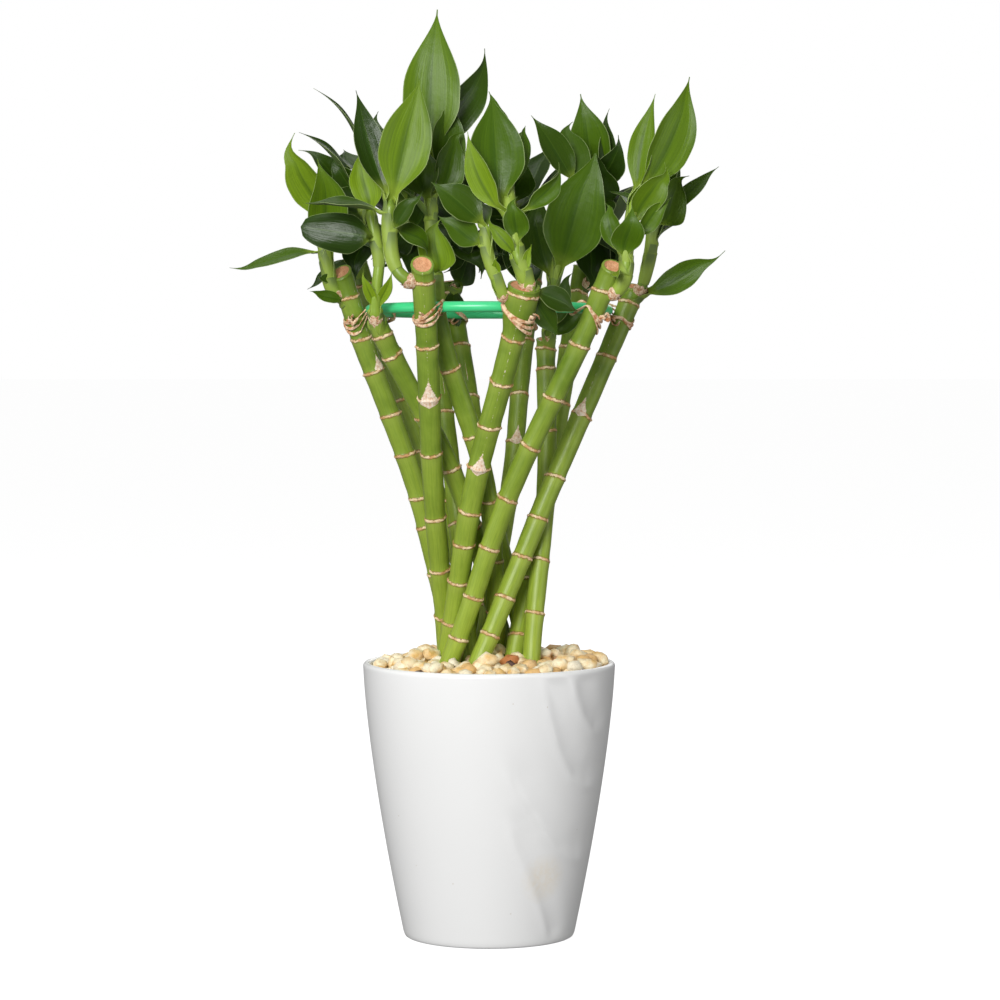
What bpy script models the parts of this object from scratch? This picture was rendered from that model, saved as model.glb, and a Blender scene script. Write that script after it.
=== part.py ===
"""Lucky bamboo in a white glazed pot, built from its real pieces.

Thirteen cut canes stand in a twisted ring in a bed of gravel. Twist ties hold
them to a plastic hoop, and a leafy shoot springs from a node near the top of
each cane. Lengths are metres, +Z is up, the plant is seen from -Y, and the
origin is the centre of the pot's foot on the surface it stands on.
"""
import math
import random

import bmesh
import bpy
from mathutils import Matrix, Vector
from mathutils.bvhtree import BVHTree

# Pot: a turned ceramic shell, slightly convex from foot to rim.
POT_HEIGHT = .131
POT_RIM_RADIUS = .060
POT_FOOT_RADIUS = .0405
POT_CURVE = 1.42
POT_WALL = .0036
POT_FLOOR = .006
POT_SIDES = 36
FOOT_CHAMFER = .001
RIM_STEPS = 3
OUTER_WALL_HEIGHTS = (.112, .092, .070, .046, .022)
INNER_WALL_HEIGHTS = (.010, .066, .1265)
FLOOR_CORNER = .003

# Gravel bed: fills the pot to just under the rim and is heaped in the middle.
BED_EDGE_HEIGHT = INNER_WALL_HEIGHTS[-1]
BED_MOUND = .006
BED_SHARES = (0, .4, .75)
PEBBLE_RADIUS = .0076
PEBBLE_SPACING = .0152
PEBBLE_JITTER = .0016
PEBBLE_SEED = 5

SEAT_GAP = .0003

# Canes: each axis runs from its place at soil level to its place at hoop level.
SOIL_HEIGHT = .131
HOOP_HEIGHT = .298
CANE_DEPTH = .100
CANE_TAPER = (.95, .08)
NODE_RIDGE = .0005
NODE_STEP = .0018
SCAR_WIDTH = .0036
SCAR_LENGTH = .0105
SCAR_FLATNESS = .42
SCAR_SUNK = .0006

HOOP_RADIUS = .0562
HOOP_TUBE = .0025
HOOP_TILT = math.radians(-1.9)
HOOP_SIDES = (32, 6)

TIE_WIRE = .0006
TIE_SLACK = .0015
TIE_SPREAD = .0052
TIE_DROP = .0035
TIE_CANE_ANGLES = (90, 45, 0, -45, -90)
TIE_HOOP_ANGLES = (-75, -120, 180, 120, 75)

ROOT_REACH = .0012
STEM_TIP = .55
BLADE_THICKNESS = .0007
BLADE_CLEARANCE = .0013
CLEARANCE_LAYERS = (0, 1, -1, .33, -.33, .67, -.67)
NECK_SHARE = .26
WIDEST_AT = .42
BROAD_BLADE = .0165
BROAD_ROWS = (0, .17, .42, .72, 1)
NARROW_ROWS = (0, .22, .55, 1)

FLAT_ANGLE = math.radians(.6)
SHARP_ANGLE = math.radians(35)
WELD = .00001

COLLECTION = "lucky_bamboo"


def cane(base, top, bow, height, radius, nodes, scars=()):
    """One cane: (x, y) at soil level and at hoop level, sideways bow half way, height of its cut."""
    return dict(base=base, top=top, bow=bow, height=height, radius=radius, nodes=nodes, scars=scars)


# Nodes are heights above the table; scars are (height, compass angle they face).
CANES = (
    cane((-.0147, .0202), (-.0645, -.004), (.0043, .0012), .316, .0049,
         (.3045, .285, .269, .2485, .2295, .209, .195, .172, .150), ((.2735, -40),)),
    cane((-.0002, .0249), (-.056, .032), (.0012, .0014), .320, .0045,
         (.310, .284, .255, .230, .205, .172), ((.262, 150),)),
    cane((.0107, .0134), (-.054, -.038), (.0075, -.0001), .293, .0046,
         (.2865, .2776, .249, .2236, .196, .168), ((.238, -150),)),
    cane((-.0197, .0088), (-.029, -.0585), (-.0016, -.0007), .319, .0050,
         (.3117, .282, .258, .2315, .201, .176, .153), ((.2625, -90),)),
    cane((.0062, .0007), (-.0247, -.0370), (.0081, -.0002), .3045, .0046,
         (.300, .271, .240, .209, .180, .155)),
    cane((-.0207, -.0041), (.0139, -.0636), (-.0036, .0014), .309, .0052,
         (.3035, .2857, .2655, .245, .2257, .2045, .189, .171, .151), ((.2295, -92),)),
    cane((-.0192, -.0185), (.0488, -.0434), (-.0044, -.0008), .3185, .0048,
         (.307, .282, .2575, .235, .2105, .187, .164, .144)),
    cane((-.0058, -.0251), (.0650, .0005), (-.0004, .0001), .309, .0048,
         (.301, .276, .2485, .2195, .200, .182, .163, .146), ((.2525, -105),)),
    cane((.0111, -.0130), (.042, .050), (.0016, .0005), .3197, .0046,
         (.3055, .279, .252, .226, .198, .1695, .1437), ((.262, 60),)),
    cane((.0199, -.0178), (.0276, .0121), (.0033, .0012), .284, .0045,
         (.2795, .270, .241, .207, .180, .155)),
    cane((-.0036, .0116), (.019, .062), (.0026, .0009), .3208, .0045,
         (.312, .283, .2565, .234, .205, .178, .155), ((.2375, -80),)),
    cane((.0190, -.0010), (-.0178, .0627), (-.0025, -.0027), .312, .0045,
         (.305, .280, .255, .225, .195, .165), ((.268, 95),)),
    cane((-.0086, -.0058), (-.029, .058), (.0016, -.0005), .308, .0045,
         (.302, .277, .248, .222, .195, .165), ((.262, 110),)),
)
TIED_CANES = (1, 2, 4, 6, 7, 8, 9, 11, 12, 13)


def leaf(root, tip, width, look, arch=.003, sway=0, twist=0, cup=.17):
    """One blade: its midrib's two ends, width, the way its face looks, and how it bends."""
    return dict(root=root, tip=tip, width=width, look=look, arch=arch, sway=sway, twist=twist,
                cup=cup)


def crown(root, facing, count, seed, reach=.055, rise=38):
    """Leaves that fan out round a compass direction, by the golden angle with seeded draws."""
    draw = random.Random(seed)
    leaves = []
    for index in range(count):
        turn = facing + (index * 137.5 + 180) % 360 * .5 - 90 + draw.uniform(-8, 8)
        lift = math.radians(rise + draw.uniform(-16, 16))
        length = reach * draw.uniform(.84, 1.08)
        flat = Vector((math.cos(math.radians(turn)), math.sin(math.radians(turn)), 0))
        start = Vector(root) + Vector((0, 0, -.004 * index))
        tip = start + length * (math.cos(lift) * flat + Vector((0, 0, math.sin(lift))))
        look = Vector((0, 0, 1)) - flat * draw.uniform(0, .6)
        leaves.append(leaf(tuple(start), tuple(tip), draw.uniform(.015, .019), tuple(look),
                           arch=draw.uniform(.002, .007)))
    return leaves


SHOOTS = dict(
    # Left cane: two broad upright leaves and a long drooping one.
    shoot_01=dict(cane=1, radii=(.0040, .0026), stem=(
        (-.066, -.005, .3015), (-.073, -.008, .3065), (-.0765, -.009, .321),
        (-.079, -.007, .336), (-.080, -.005, .347)), leaves=[
        leaf((-.079, -.008, .334), (-.0915, -.014, .381), .0165, (-4, -9, 1), sway=-.001),
        leaf((-.077, -.010, .324), (-.0835, -.022, .370), .0165, (1, -9, 2), .002),
        leaf((-.080, -.004, .345), (-.095, .006, .372), .008, (-3, -9, 2)),
        leaf((-.076, -.006, .325), (-.122, -.012, .3185), .0105, (0, -4, 9), .002, twist=-50),
        leaf((-.075, -.008, .312), (-.080, -.016, .3145), .004, (0, -9, 2), .001),
    ] + crown((-.0797, -.0055, .344), 105, 3, 11, .042)),
    # Far left cane, half hidden: thin leaves seen edge on above the broad ones.
    shoot_02=dict(cane=2, radii=(.0036, .0024), stem=(
        (-.0612, .033, .3125), (-.063, .028, .3185), (-.062, .025, .333),
        (-.060, .026, .350), (-.058, .028, .366)), leaves=[
        leaf((-.058, .027, .364), (-.0845, .022, .4045), .010, (4, -2, 9), .006),
        leaf((-.060, .025, .348), (-.0915, .018, .3750), .012, (-1, -5, 8), .003),
        leaf((-.061, .023, .345), (-.0735, .012, .372), .013, (-2, -9, 3)),
        leaf((-.057, .026, .362), (-.053, .022, .393), .010, (1, -9, 2)),
        leaf((-.059, .028, .356), (-.046, .034, .393), .010, (4, -7, 4)),
        leaf((-.0632, .026, .3240), (-.0868, .018, .3080), .009, (-1, -5, 8), .001),
        leaf((-.0615, .025, .340), (-.0560, .006, .3215), .017, (0, -7, 6), .005),
    ] + crown((-.0595, .0265, .355), 130, 4, 12, .050)),
    # Front left cane: a pale shoot in clasping sheaths, with a broad glossy leaf held out flat.
    shoot_03=dict(cane=3, radii=(.0040, .0030), stem=(
        (-.0505, -.0365, .2875), (-.0525, -.0415, .297), (-.0515, -.0435, .310),
        (-.0505, -.0435, .322), (-.053, -.0425, .334), (-.0555, -.041, .346)), leaves=[
        leaf((-.055, -.041, .340), (-.0585, -.043, .3715), .0135, (-1, -9, 1)),
        leaf((-.052, -.043, .324), (-.0865, -.072, .332), .0245, (-2, -8, 5), .004, cup=.12),
        leaf((-.0515, -.0445, .300), (-.058, -.047, .318), .005, (-2, -9, 1), .001),
        leaf((-.0505, -.0445, .300), (-.0445, -.046, .315), .005, (2, -9, 1), .001),
    ]),
    # Second front cane: the tall light green leaf with a dark one swept to its left.
    shoot_04=dict(cane=4, radii=(.0046, .0032), stem=(
        (-.0295, -.0625, .3105), (-.037, -.066, .312), (-.043, -.0655, .319),
        (-.0455, -.063, .333), (-.0445, -.0615, .349)), leaves=[
        leaf((-.0445, -.062, .344), (-.0325, -.058, .402), .0235, (1, -9, 2), .004, cup=.14),
        leaf((-.0445, -.060, .346), (-.061, -.046, .399), .015, (-5, -6, 3), .003, sway=-.004),
        leaf((-.0445, -.064, .335), (-.0375, -.070, .3475), .013, (1, -9, 3), .003, cup=.25),
        leaf((-.0455, -.063, .341), (-.085, -.055, .349), .015, (0, -3, 9), .003, cup=.22),
        leaf((-.0435, -.060, .345), (-.042, -.030, .385), .015, (3, -5, 6), .005),
        leaf((-.0435, -.062, .336), (-.0285, -.050, .3235), .013, (2, -7, 6), .004),
    ]),
    # Cane inside the hoop: the tallest leaves of the plant.
    shoot_05=dict(cane=5, radii=(.0034, .0022), stem=(
        (-.0225, -.043, .2995), (-.024, -.0405, .311), (-.026, -.036, .326),
        (-.027, -.031, .346), (-.0275, -.027, .366)), leaves=[
        leaf((-.0275, -.028, .362), (-.0245, -.020, .4375), .0245, (-1, -9, 1), .005, cup=.13),
        leaf((-.027, -.026, .364), (-.0015, -.005, .421), .0165, (5, -6, 2), .004),
        leaf((-.027, -.029, .358), (-.012, -.026, .396), .016, (3, -9, 2), .004),
        leaf((-.0265, -.032, .350), (-.0105, -.034, .381), .014, (4, -8, 3), .003),
        leaf((-.0235, -.0425, .313), (-.0215, -.050, .3405), .0165, (0, -9, 1), .004),
        leaf((-.0265, -.034, .340), (-.0425, -.048, .3535), .008, (0, -4, 9), .002),
        leaf((-.0265, -.034, .348), (-.034, -.030, .376), .017, (-3, -9, 3), .004),
        leaf((-.0265, -.032, .344), (-.012, -.006, .366), .015, (-2, -2, 9), .005),
    ]),
    # Middle front cane, left of its two shoots: dark leaves that point up to the left.
    shoot_06=dict(cane=6, radii=(.0035, .0028), stem=(
        (.0078, -.067, .3035), (.0042, -.0695, .310), (-.0005, -.070, .3245),
        (-.001, -.0685, .3365)), leaves=[
        leaf((-.0005, -.0685, .335), (-.0255, -.066, .3555), .0165, (1, -8, 5), .004, cup=.2),
        leaf((-.001, -.069, .328), (-.023, -.068, .3445), .013, (-3, -9, 3), .002),
        leaf((.003, -.070, .3135), (.0035, -.0745, .3225), .004, (0, -9, 1), .0005),
        leaf((-.001, -.067, .335), (-.020, -.048, .362), .015, (2, -6, 6), .004),
    ]),
    # Middle front cane, right shoot: the big cupped leaf and the thin curled ones beside it.
    shoot_07=dict(cane=6, radii=(.0044, .0028), stem=(
        (.0190, -.067, .3060), (.0162, -.070, .314), (.0125, -.0705, .326),
        (.0105, -.070, .338), (.009, -.066, .352), (.0075, -.060, .364)), leaves=[
        leaf((.0068, -.063, .352), (.0004, -.048, .3975), .0225, (0, -9, 0), .005, cup=.24),
        leaf((.0085, -.0675, .341), (-.0115, -.060, .3715), .0145, (-2, -9, -1), .003, cup=.25),
        leaf((.0065, -.058, .362), (-.0005, -.032, .400), .015, (-2, -8, 3)),
        leaf((.0075, -.057, .360), (.0160, -.040, .382), .0065, (2, -8, 3)),
        leaf((.0095, -.062, .352), (.0165, -.050, .3845), .008, (5, -7, 2)),
        leaf((.0110, -.067, .343), (.0315, -.062, .366), .011, (2, -9, 4), .002, sway=.004,
             cup=.3),
        leaf((.0112, -.0715, .330), (.0134, -.0745, .3505), .0115, (0, -9, 2), .003, cup=.28),
        leaf((.0118, -.0715, .322), (.0005, -.0745, .3415), .0075, (-2, -9, 1), .002),
        leaf((.0152, -.0715, .316), (.0200, -.0735, .3285), .004, (3, -9, 1), .0005),
    ]),
    # Right front cane: the widest spray, with leaves that reach up to the right.
    shoot_08=dict(cane=7, radii=(.0042, .0028), stem=(
        (.0535, -.0455, .3045), (.059, -.0475, .307), (.0628, -.0475, .3145),
        (.0635, -.047, .325), (.065, -.046, .337), (.067, -.043, .350)), leaves=[
        leaf((.0632, -.049, .320), (.066, -.0535, .346), .0145, (-1, -9, 1), .004, cup=.3),
        leaf((.0618, -.0485, .3145), (.052, -.0515, .3245), .005, (-5, -3, 6), .003),
        leaf((.0655, -.047, .335), (.081, -.045, .366), .0135, (3, -9, 1), .003, cup=.25),
        leaf((.0655, -.044, .338), (.0575, -.034, .3640), .0065, (-3, -9, 1)),
        leaf((.0665, -.043, .347), (.0765, -.035, .3975), .0105, (-3, -9, 1), .003),
        leaf((.0668, -.043, .349), (.093, -.032, .406), .0205, (4, -9, 2), .005, sway=.004, cup=.14),
        leaf((.066, -.0465, .331), (.084, -.046, .3505), .009, (5, -5, 4), .002, cup=.3),
    ]),
    # Rightmost cane: the long leaf with a twisted tail, and thin ones seen edge on.
    shoot_09=dict(cane=8, radii=(.0040, .0026), stem=(
        (.0675, 0, .3025), (.072, -.003, .3085), (.075, -.004, .320),
        (.077, -.003, .333), (.079, 0, .346)), leaves=[
        leaf((.0720, -.006, .3085), (.111, -.012, .326), .0125, (1, -7, 6), -.003, twist=55),
        leaf((.0775, -.003, .337), (.0945, -.012, .361), .0155, (3, -8, 1), .003, cup=.22),
        leaf((.078, .001, .337), (.109, .005, .3665), .010, (4, -3, 8), .001),
        leaf((.0765, -.002, .324), (.091, .002, .3415), .008, (-5, -1, 7), .004),
        leaf((.0785, .001, .345), (.090, .006, .380), .010, (6, -4, 4), .003),
    ] + crown((.0783, -.001, .342), 62, 3, 19, .042)),
    # Right back cane: tall leaves behind the big one.
    shoot_10=dict(cane=9, radii=(.0038, .0026), stem=(
        (.044, .053, .3055), (.049, .050, .312), (.0525, .0475, .325),
        (.054, .045, .342), (.053, .042, .358)), leaves=[
        leaf((.053, .042, .356), (.044, .036, .402), .020, (-1, -9, 1), .004),
        leaf((.0535, .042, .352), (.058, .036, .395), .009, (4, -8, 1)),
        leaf((.0535, .044, .346), (.052, .026, .372), .016, (2, -9, 3)),
        leaf((.053, .046, .340), (.0590, .022, .3205), .019, (1, -8, 5), .006),
        leaf((.053, .045, .346), (.0500, .016, .3385), .018, (-1, -8, 5), .006),
    ] + crown((.054, .045, .348), 78, 5, 20, .050)),
    # Short cane inside the ring: the big leaf that faces forward.
    shoot_11=dict(cane=10, radii=(.0034, .0022), stem=(
        (.0285, .0085, .2795), (.0285, .003, .288), (.0295, -.001, .301),
        (.0315, -.003, .316), (.0345, -.001, .333), (.038, .003, .350), (.0415, .006, .362)),
         leaves=[
        leaf((.0318, -.0055, .311), (.0505, -.016, .372), .0265, (0, -9, 1), .005, cup=.12),
        leaf((.0410, .005, .360), (.0195, .003, .3895), .0135, (2, -9, 4), .003),
        leaf((.0330, -.001, .326), (.046, -.002, .350), .014, (3, -8, 3), .004),
        leaf((.0395, .005, .354), (.040, .022, .388), .015, (0, -6, 5), .004),
        leaf((.0305, -.001, .311), (.0185, .006, .352), .018, (-1, -9, 2), .004),
    ]),
    # Back canes: crowns that fill the plant's far side.
    shoot_12=dict(cane=11, radii=(.0032, .0020), stem=(
        (.021, .068, .311), (.0155, .0695, .318), (.0125, .067, .333), (.0115, .061, .350)),
         leaves=[
        leaf((.0115, .060, .348), (.0165, .044, .372), .016, (1, -9, 2)),
        leaf((.0120, .063, .338), (.0235, .034, .3430), .018, (0, -8, 5), .006),
    ] + crown((.0117, .0618, .348), 95, 5, 22)),
    shoot_13=dict(cane=12, radii=(.0032, .0020), stem=(
        (-.0195, .065, .304), (-.0155, .061, .312), (-.013, .057, .330), (-.012, .052, .350)),
         leaves=[
        leaf((-.012, .052, .348), (-.004, .036, .386), .016, (2, -9, 2)),
        leaf((-.012, .052, .346), (-.017, .034, .384), .015, (-2, -9, 2)),
        leaf((-.013, .057, .332), (-.0045, .030, .3130), .019, (1, -8, 5), .006),
        leaf((-.0125, .055, .338), (.0010, .032, .3390), .017, (1, -7, 6), .006),
    ] + crown((-.0122, .053, .346), 80, 4, 31, .048)),
    shoot_14=dict(cane=13, radii=(.0032, .0020), stem=(
        (-.030, .060, .3015), (-.035, .058, .308), (-.038, .054, .325), (-.0385, .048, .346)),
         leaves=[
        leaf((-.0385, .047, .346), (-.034, .030, .386), .015, (1, -9, 2)),
        leaf((-.0385, .049, .342), (-.054, .040, .378), .015, (-3, -8, 3)),
        leaf((-.038, .053, .330), (-.0375, .028, .3130), .019, (0, -8, 5), .006),
        leaf((-.038, .051, .336), (-.0200, .030, .3250), .017, (1, -7, 6), .006),
    ] + crown((-.0384, .0492, .342), 120, 4, 24)),
)


def clear_scene():
    for scene_object in list(bpy.data.objects):
        bpy.data.objects.remove(scene_object, do_unlink=True)


def make_material(name, colour, roughness, metallic=0.0):
    material = bpy.data.materials.new(name)
    material.use_nodes = True
    shader = material.node_tree.nodes["Principled BSDF"]
    shader.inputs["Base Color"].default_value = (*colour, 1)
    shader.inputs["Roughness"].default_value = roughness
    shader.inputs["Metallic"].default_value = metallic
    return material


def make_collection(name):
    collection = bpy.data.collections.new(name)
    bpy.context.scene.collection.children.link(collection)
    return collection


def place_mesh(name, mesh, material, collection):
    """Put a mesh in the scene as a named, smooth-shaded piece."""
    piece = bpy.data.objects.new(name, mesh)
    collection.objects.link(piece)
    mesh.materials.clear()
    mesh.materials.append(material)
    mesh.shade_smooth()
    mesh.set_sharp_from_angle(angle=SHARP_ANGLE)
    return piece


def evaluated_mesh(piece):
    """The piece's mesh with its modifiers worked in."""
    depsgraph = bpy.context.evaluated_depsgraph_get()
    return bpy.data.meshes.new_from_object(piece.evaluated_get(depsgraph), depsgraph=depsgraph)


def freeze(piece):
    """Replace the piece's mesh by its evaluated one and drop its modifiers."""
    mesh = evaluated_mesh(piece)
    piece.modifiers.clear()
    piece.data = mesh
    return piece


def turned(name, profile, sides, material, collection):
    """Spin a profile of (radius, height) points, from the axis round its outer side."""
    points = [(radius, 0, height) for radius, height in profile]
    edges = [(index, index + 1) for index in range(len(points) - 1)]
    mesh = bpy.data.meshes.new(name)
    mesh.from_pydata(points, edges, [])
    piece = place_mesh(name, mesh, material, collection)
    screw = piece.modifiers.new("turn", "SCREW")
    screw.steps = sides
    screw.render_steps = sides
    screw.use_merge_vertices = True
    screw.merge_threshold = WELD
    return piece


def tube(name, points, radii, resolution, material, collection, cyclic=False):
    """A tube along the points: resolution 0 has four sides, 1 has six, 2 has eight."""
    curve = bpy.data.curves.new(name, "CURVE")
    curve.dimensions = "3D"
    curve.bevel_depth = 1
    curve.bevel_resolution = resolution
    curve.use_fill_caps = not cyclic
    spline = curve.splines.new("POLY")
    spline.points.add(len(points) - 1)
    spline.use_cyclic_u = cyclic
    for point, place, radius in zip(spline.points, points, radii):
        point.co = (*place, 1)
        point.radius = radius
    guide = bpy.data.objects.new(name + "_axis", curve)
    collection.objects.link(guide)
    mesh = evaluated_mesh(guide)
    bpy.data.objects.remove(guide)
    welded = bmesh.new()
    welded.from_mesh(mesh)
    bmesh.ops.remove_doubles(welded, verts=welded.verts, dist=WELD)
    bmesh.ops.recalc_face_normals(welded, faces=welded.faces)
    welded.to_mesh(mesh)
    welded.free()
    return place_mesh(name, mesh, material, collection)


def combine(piece, others, operation, solver="EXACT"):
    """Join the others to the piece, or cut them from it, and remove them."""
    group = bpy.data.collections.new(piece.name + "_tools")
    bpy.context.scene.collection.children.link(group)
    for other in others:
        for collection in list(other.users_collection):
            collection.objects.unlink(other)
        group.objects.link(other)
    boolean = piece.modifiers.new("combine", "BOOLEAN")
    boolean.operation = operation
    boolean.operand_type = "COLLECTION"
    boolean.collection = group
    boolean.solver = solver
    freeze(piece)
    for other in others:
        bpy.data.objects.remove(other)
    bpy.data.collections.remove(group)
    return join_flat_faces(piece)


def split_the_other_way(shape, edge, first, second):
    """Swap the diagonal that two flat triangles share, if their outline allows it."""
    start, end = next((corner.vert, corner.link_loop_next.vert) for corner in first.loops
                      if corner.edge == edge)
    near, far = (next(vertex for vertex in face.verts if vertex not in edge.verts)
                 for face in (first, second))
    corners = ((start, far, near), (far, end, near))
    if first.normal.dot(second.normal) < .99 or shape.edges.get((near, far)):
        return False
    for one, two, three in corners:
        if (two.co - one.co).cross(three.co - one.co).dot(first.normal) <= 0:
            return False
    bmesh.ops.delete(shape, geom=[first, second], context="FACES_ONLY")
    for triangle in corners:
        shape.faces.new(triangle)
    return True


def part_shared_diagonals(shape):
    """Two flat faces split along one and the same line: one of them is split the other way."""
    for edge in [edge for edge in shape.edges if len(edge.link_faces) > 2]:
        faces = list(edge.link_faces)
        for first, second in [(one, two) for one in faces for two in faces if one is not two]:
            if split_the_other_way(shape, edge, first, second):
                break


def join_flat_faces(piece):
    """Melt the needless cuts that joining leaves in flat faces, then split all in triangles."""
    shape = bmesh.new()
    shape.from_mesh(piece.data)
    bmesh.ops.dissolve_limit(shape, angle_limit=FLAT_ANGLE, verts=shape.verts, edges=shape.edges)
    bmesh.ops.triangulate(shape, faces=shape.faces)
    shape.normal_update()
    part_shared_diagonals(shape)
    shape.to_mesh(piece.data)
    shape.free()
    return piece


def keep_main_body(piece):
    """Drop scraps that a cut left loose, and keep the body with the most faces."""
    shape = bmesh.new()
    shape.from_mesh(piece.data)
    bodies = []
    unseen = set(shape.faces)
    while unseen:
        body = set()
        front = [unseen.pop()]
        while front:
            face = front.pop()
            body.add(face)
            for edge in face.edges:
                near = [other for other in edge.link_faces if other in unseen]
                unseen.difference_update(near)
                front.extend(near)
        bodies.append(body)
    bodies.sort(key=len)
    loose = [face for body in bodies[:-1] for face in body]
    bmesh.ops.delete(shape, geom=loose, context="FACES")
    shape.to_mesh(piece.data)
    shape.free()
    return piece


def pot_outer_radius(height):
    share = min(height / POT_HEIGHT, 1)
    flare = 1 - (1 - share) ** POT_CURVE
    return POT_FOOT_RADIUS + (POT_RIM_RADIUS - POT_FOOT_RADIUS) * flare


def pot_inner_wall():
    """The inner wall from the floor up, as (radius, height) points."""
    wall = [(pot_outer_radius(height) - POT_WALL, height) for height in INNER_WALL_HEIGHTS]
    corner = (pot_outer_radius(POT_FLOOR) - POT_WALL - FLOOR_CORNER, POT_FLOOR)
    return [corner] + wall


def rim_arc():
    """The rounded lip, from inside to outside."""
    radius = POT_WALL / 2
    middle = POT_RIM_RADIUS - radius
    turns = [math.pi * (1 - step / RIM_STEPS) for step in range(RIM_STEPS + 1)]
    return [(middle + radius * math.cos(turn), POT_HEIGHT - radius * (1 - math.sin(turn)))
            for turn in turns]


def build_pot(collection):
    glaze = make_material("pot_glaze", (.86, .87, .88), .3)
    outer = [(pot_outer_radius(height), height) for height in OUTER_WALL_HEIGHTS]
    foot = [(pot_outer_radius(FOOT_CHAMFER), FOOT_CHAMFER), (POT_FOOT_RADIUS - FOOT_CHAMFER, 0)]
    profile = [(0, POT_FLOOR)] + pot_inner_wall() + rim_arc() + outer + foot + [(0, 0)]
    return turned("pot", profile, POT_SIDES, glaze, collection)


def bed_height(radius):
    """The gravel's level: a low mound in the middle of the pot."""
    edge = pot_outer_radius(BED_EDGE_HEIGHT) - POT_WALL
    return BED_EDGE_HEIGHT + BED_MOUND * (1 - (radius / edge) ** 2)


def pebble(index, place, draw, material, collection):
    """A squashed, turned stone of twenty faces."""
    shape = bmesh.new()
    bmesh.ops.create_icosphere(shape, subdivisions=1, radius=PEBBLE_RADIUS)
    size = Matrix.Diagonal((draw.uniform(.85, 1.1), draw.uniform(.78, 1), draw.uniform(.6, .8), 1))
    turn = Matrix.Rotation(draw.uniform(0, math.tau), 4, "Z")
    tilt = Matrix.Rotation(draw.uniform(-.3, .3), 4, "X")
    bmesh.ops.transform(shape, matrix=Matrix.Translation(place) @ turn @ tilt @ size,
                        verts=shape.verts)
    mesh = bpy.data.meshes.new(f"pebble_{index:02}")
    shape.to_mesh(mesh)
    shape.free()
    return place_mesh(mesh.name, mesh, material, collection)


def pebble_places(draw):
    """A jittered honeycomb of places within the pot."""
    reach = pot_outer_radius(BED_EDGE_HEIGHT) - POT_WALL - PEBBLE_RADIUS * 1.15
    row_step = PEBBLE_SPACING * math.sqrt(3) / 2
    rows = int(reach / row_step) + 1
    for row in range(-rows, rows + 1):
        for column in range(-rows - 1, rows + 2):
            x = (column + row % 2 / 2) * PEBBLE_SPACING + draw.uniform(-1, 1) * PEBBLE_JITTER
            y = row * row_step + draw.uniform(-1, 1) * PEBBLE_JITTER
            radius = math.hypot(x, y)
            if radius < reach:
                yield Vector((x, y, bed_height(radius) + draw.uniform(-.0005, .0012)))


def build_gravel(collection):
    """The filled bed with its top layer of stones, and a plain hole for each cane."""
    stone = make_material("gravel", (.80, .62, .38), .8)
    inset = SEAT_GAP / math.cos(math.pi / POT_SIDES) + .00005
    wall = [(radius - inset, height) for radius, height in reversed(pot_inner_wall())]
    wall[-1] = (wall[-1][0], POT_FLOOR + SEAT_GAP)
    edge = wall[0][0]
    top = [(edge * share, bed_height(edge * share)) for share in BED_SHARES]
    profile = top + wall + [(0, POT_FLOOR + SEAT_GAP)]
    bed = freeze(turned("gravel_bed", profile, POT_SIDES, stone, collection))
    draw = random.Random(PEBBLE_SEED)
    stones = [pebble(index, place, draw, stone, collection)
              for index, place in enumerate(pebble_places(draw))]
    combine(bed, stones, "UNION")
    cutters = [cane_tube(number, SEAT_GAP, stone, collection) for number in range(1, len(CANES) + 1)]
    combine(bed, cutters, "DIFFERENCE")
    return keep_main_body(bed)


def cane_axis(spec, height):
    """The middle of a cane at a height: a straight line with a soft bow between its ends."""
    share = (height - SOIL_HEIGHT) / (HOOP_HEIGHT - SOIL_HEIGHT)
    bend = math.sin(math.pi * share) ** 2 if 0 < share < 1 else 0
    flat = [base + (top - base) * share + bow * bend
            for base, top, bow in zip(spec["base"], spec["top"], spec["bow"])]
    return Vector((*flat, height))


def cane_radius(spec, height):
    """Canes are a little thicker towards the top."""
    share = (height - SOIL_HEIGHT) / (HOOP_HEIGHT - SOIL_HEIGHT)
    base, growth = CANE_TAPER
    return spec["radius"] * (base + growth * share)


def cane_tube(number, grown, material, collection):
    """A cane's tube, each joint widening up to the ridge of its node, all larger by grown."""
    spec = CANES[number - 1]
    rings = [(CANE_DEPTH - grown, 0), (SOIL_HEIGHT + .004, 0)]
    for node in sorted(spec["nodes"]):
        rings += [(node, NODE_RIDGE), (node + NODE_STEP, 0)]
    rings.append((spec["height"] + grown, 0))
    points = [cane_axis(spec, height) for height, _ in rings]
    radii = [cane_radius(spec, height) + ridge + grown for height, ridge in rings]
    return tube(f"cane_{number:02}", points, radii, 2, material, collection)


def scar(spec, height, facing, material, collection):
    """The pointed mark of a shed leaf: a flat four-sided cone half sunk in the cane."""
    shape = bmesh.new()
    bmesh.ops.create_cone(shape, cap_ends=True, segments=4, radius1=SCAR_WIDTH, radius2=.0002,
                          depth=SCAR_LENGTH)
    angle = math.radians(facing)
    out = Vector((math.cos(angle), math.sin(angle), 0))
    lean = (cane_axis(spec, height + .01) - cane_axis(spec, height)).normalized()
    side = lean.cross(out).normalized()
    out = side.cross(lean)
    place = cane_axis(spec, height) + out * (cane_radius(spec, height) - SCAR_SUNK)
    frame = Matrix((side, out * SCAR_FLATNESS, lean)).transposed().to_4x4()
    bmesh.ops.transform(shape, matrix=Matrix.Translation(place) @ frame, verts=shape.verts)
    bmesh.ops.recalc_face_normals(shape, faces=shape.faces)
    mesh = bpy.data.meshes.new("scar")
    shape.to_mesh(mesh)
    shape.free()
    return place_mesh("scar", mesh, material, collection)


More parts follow.
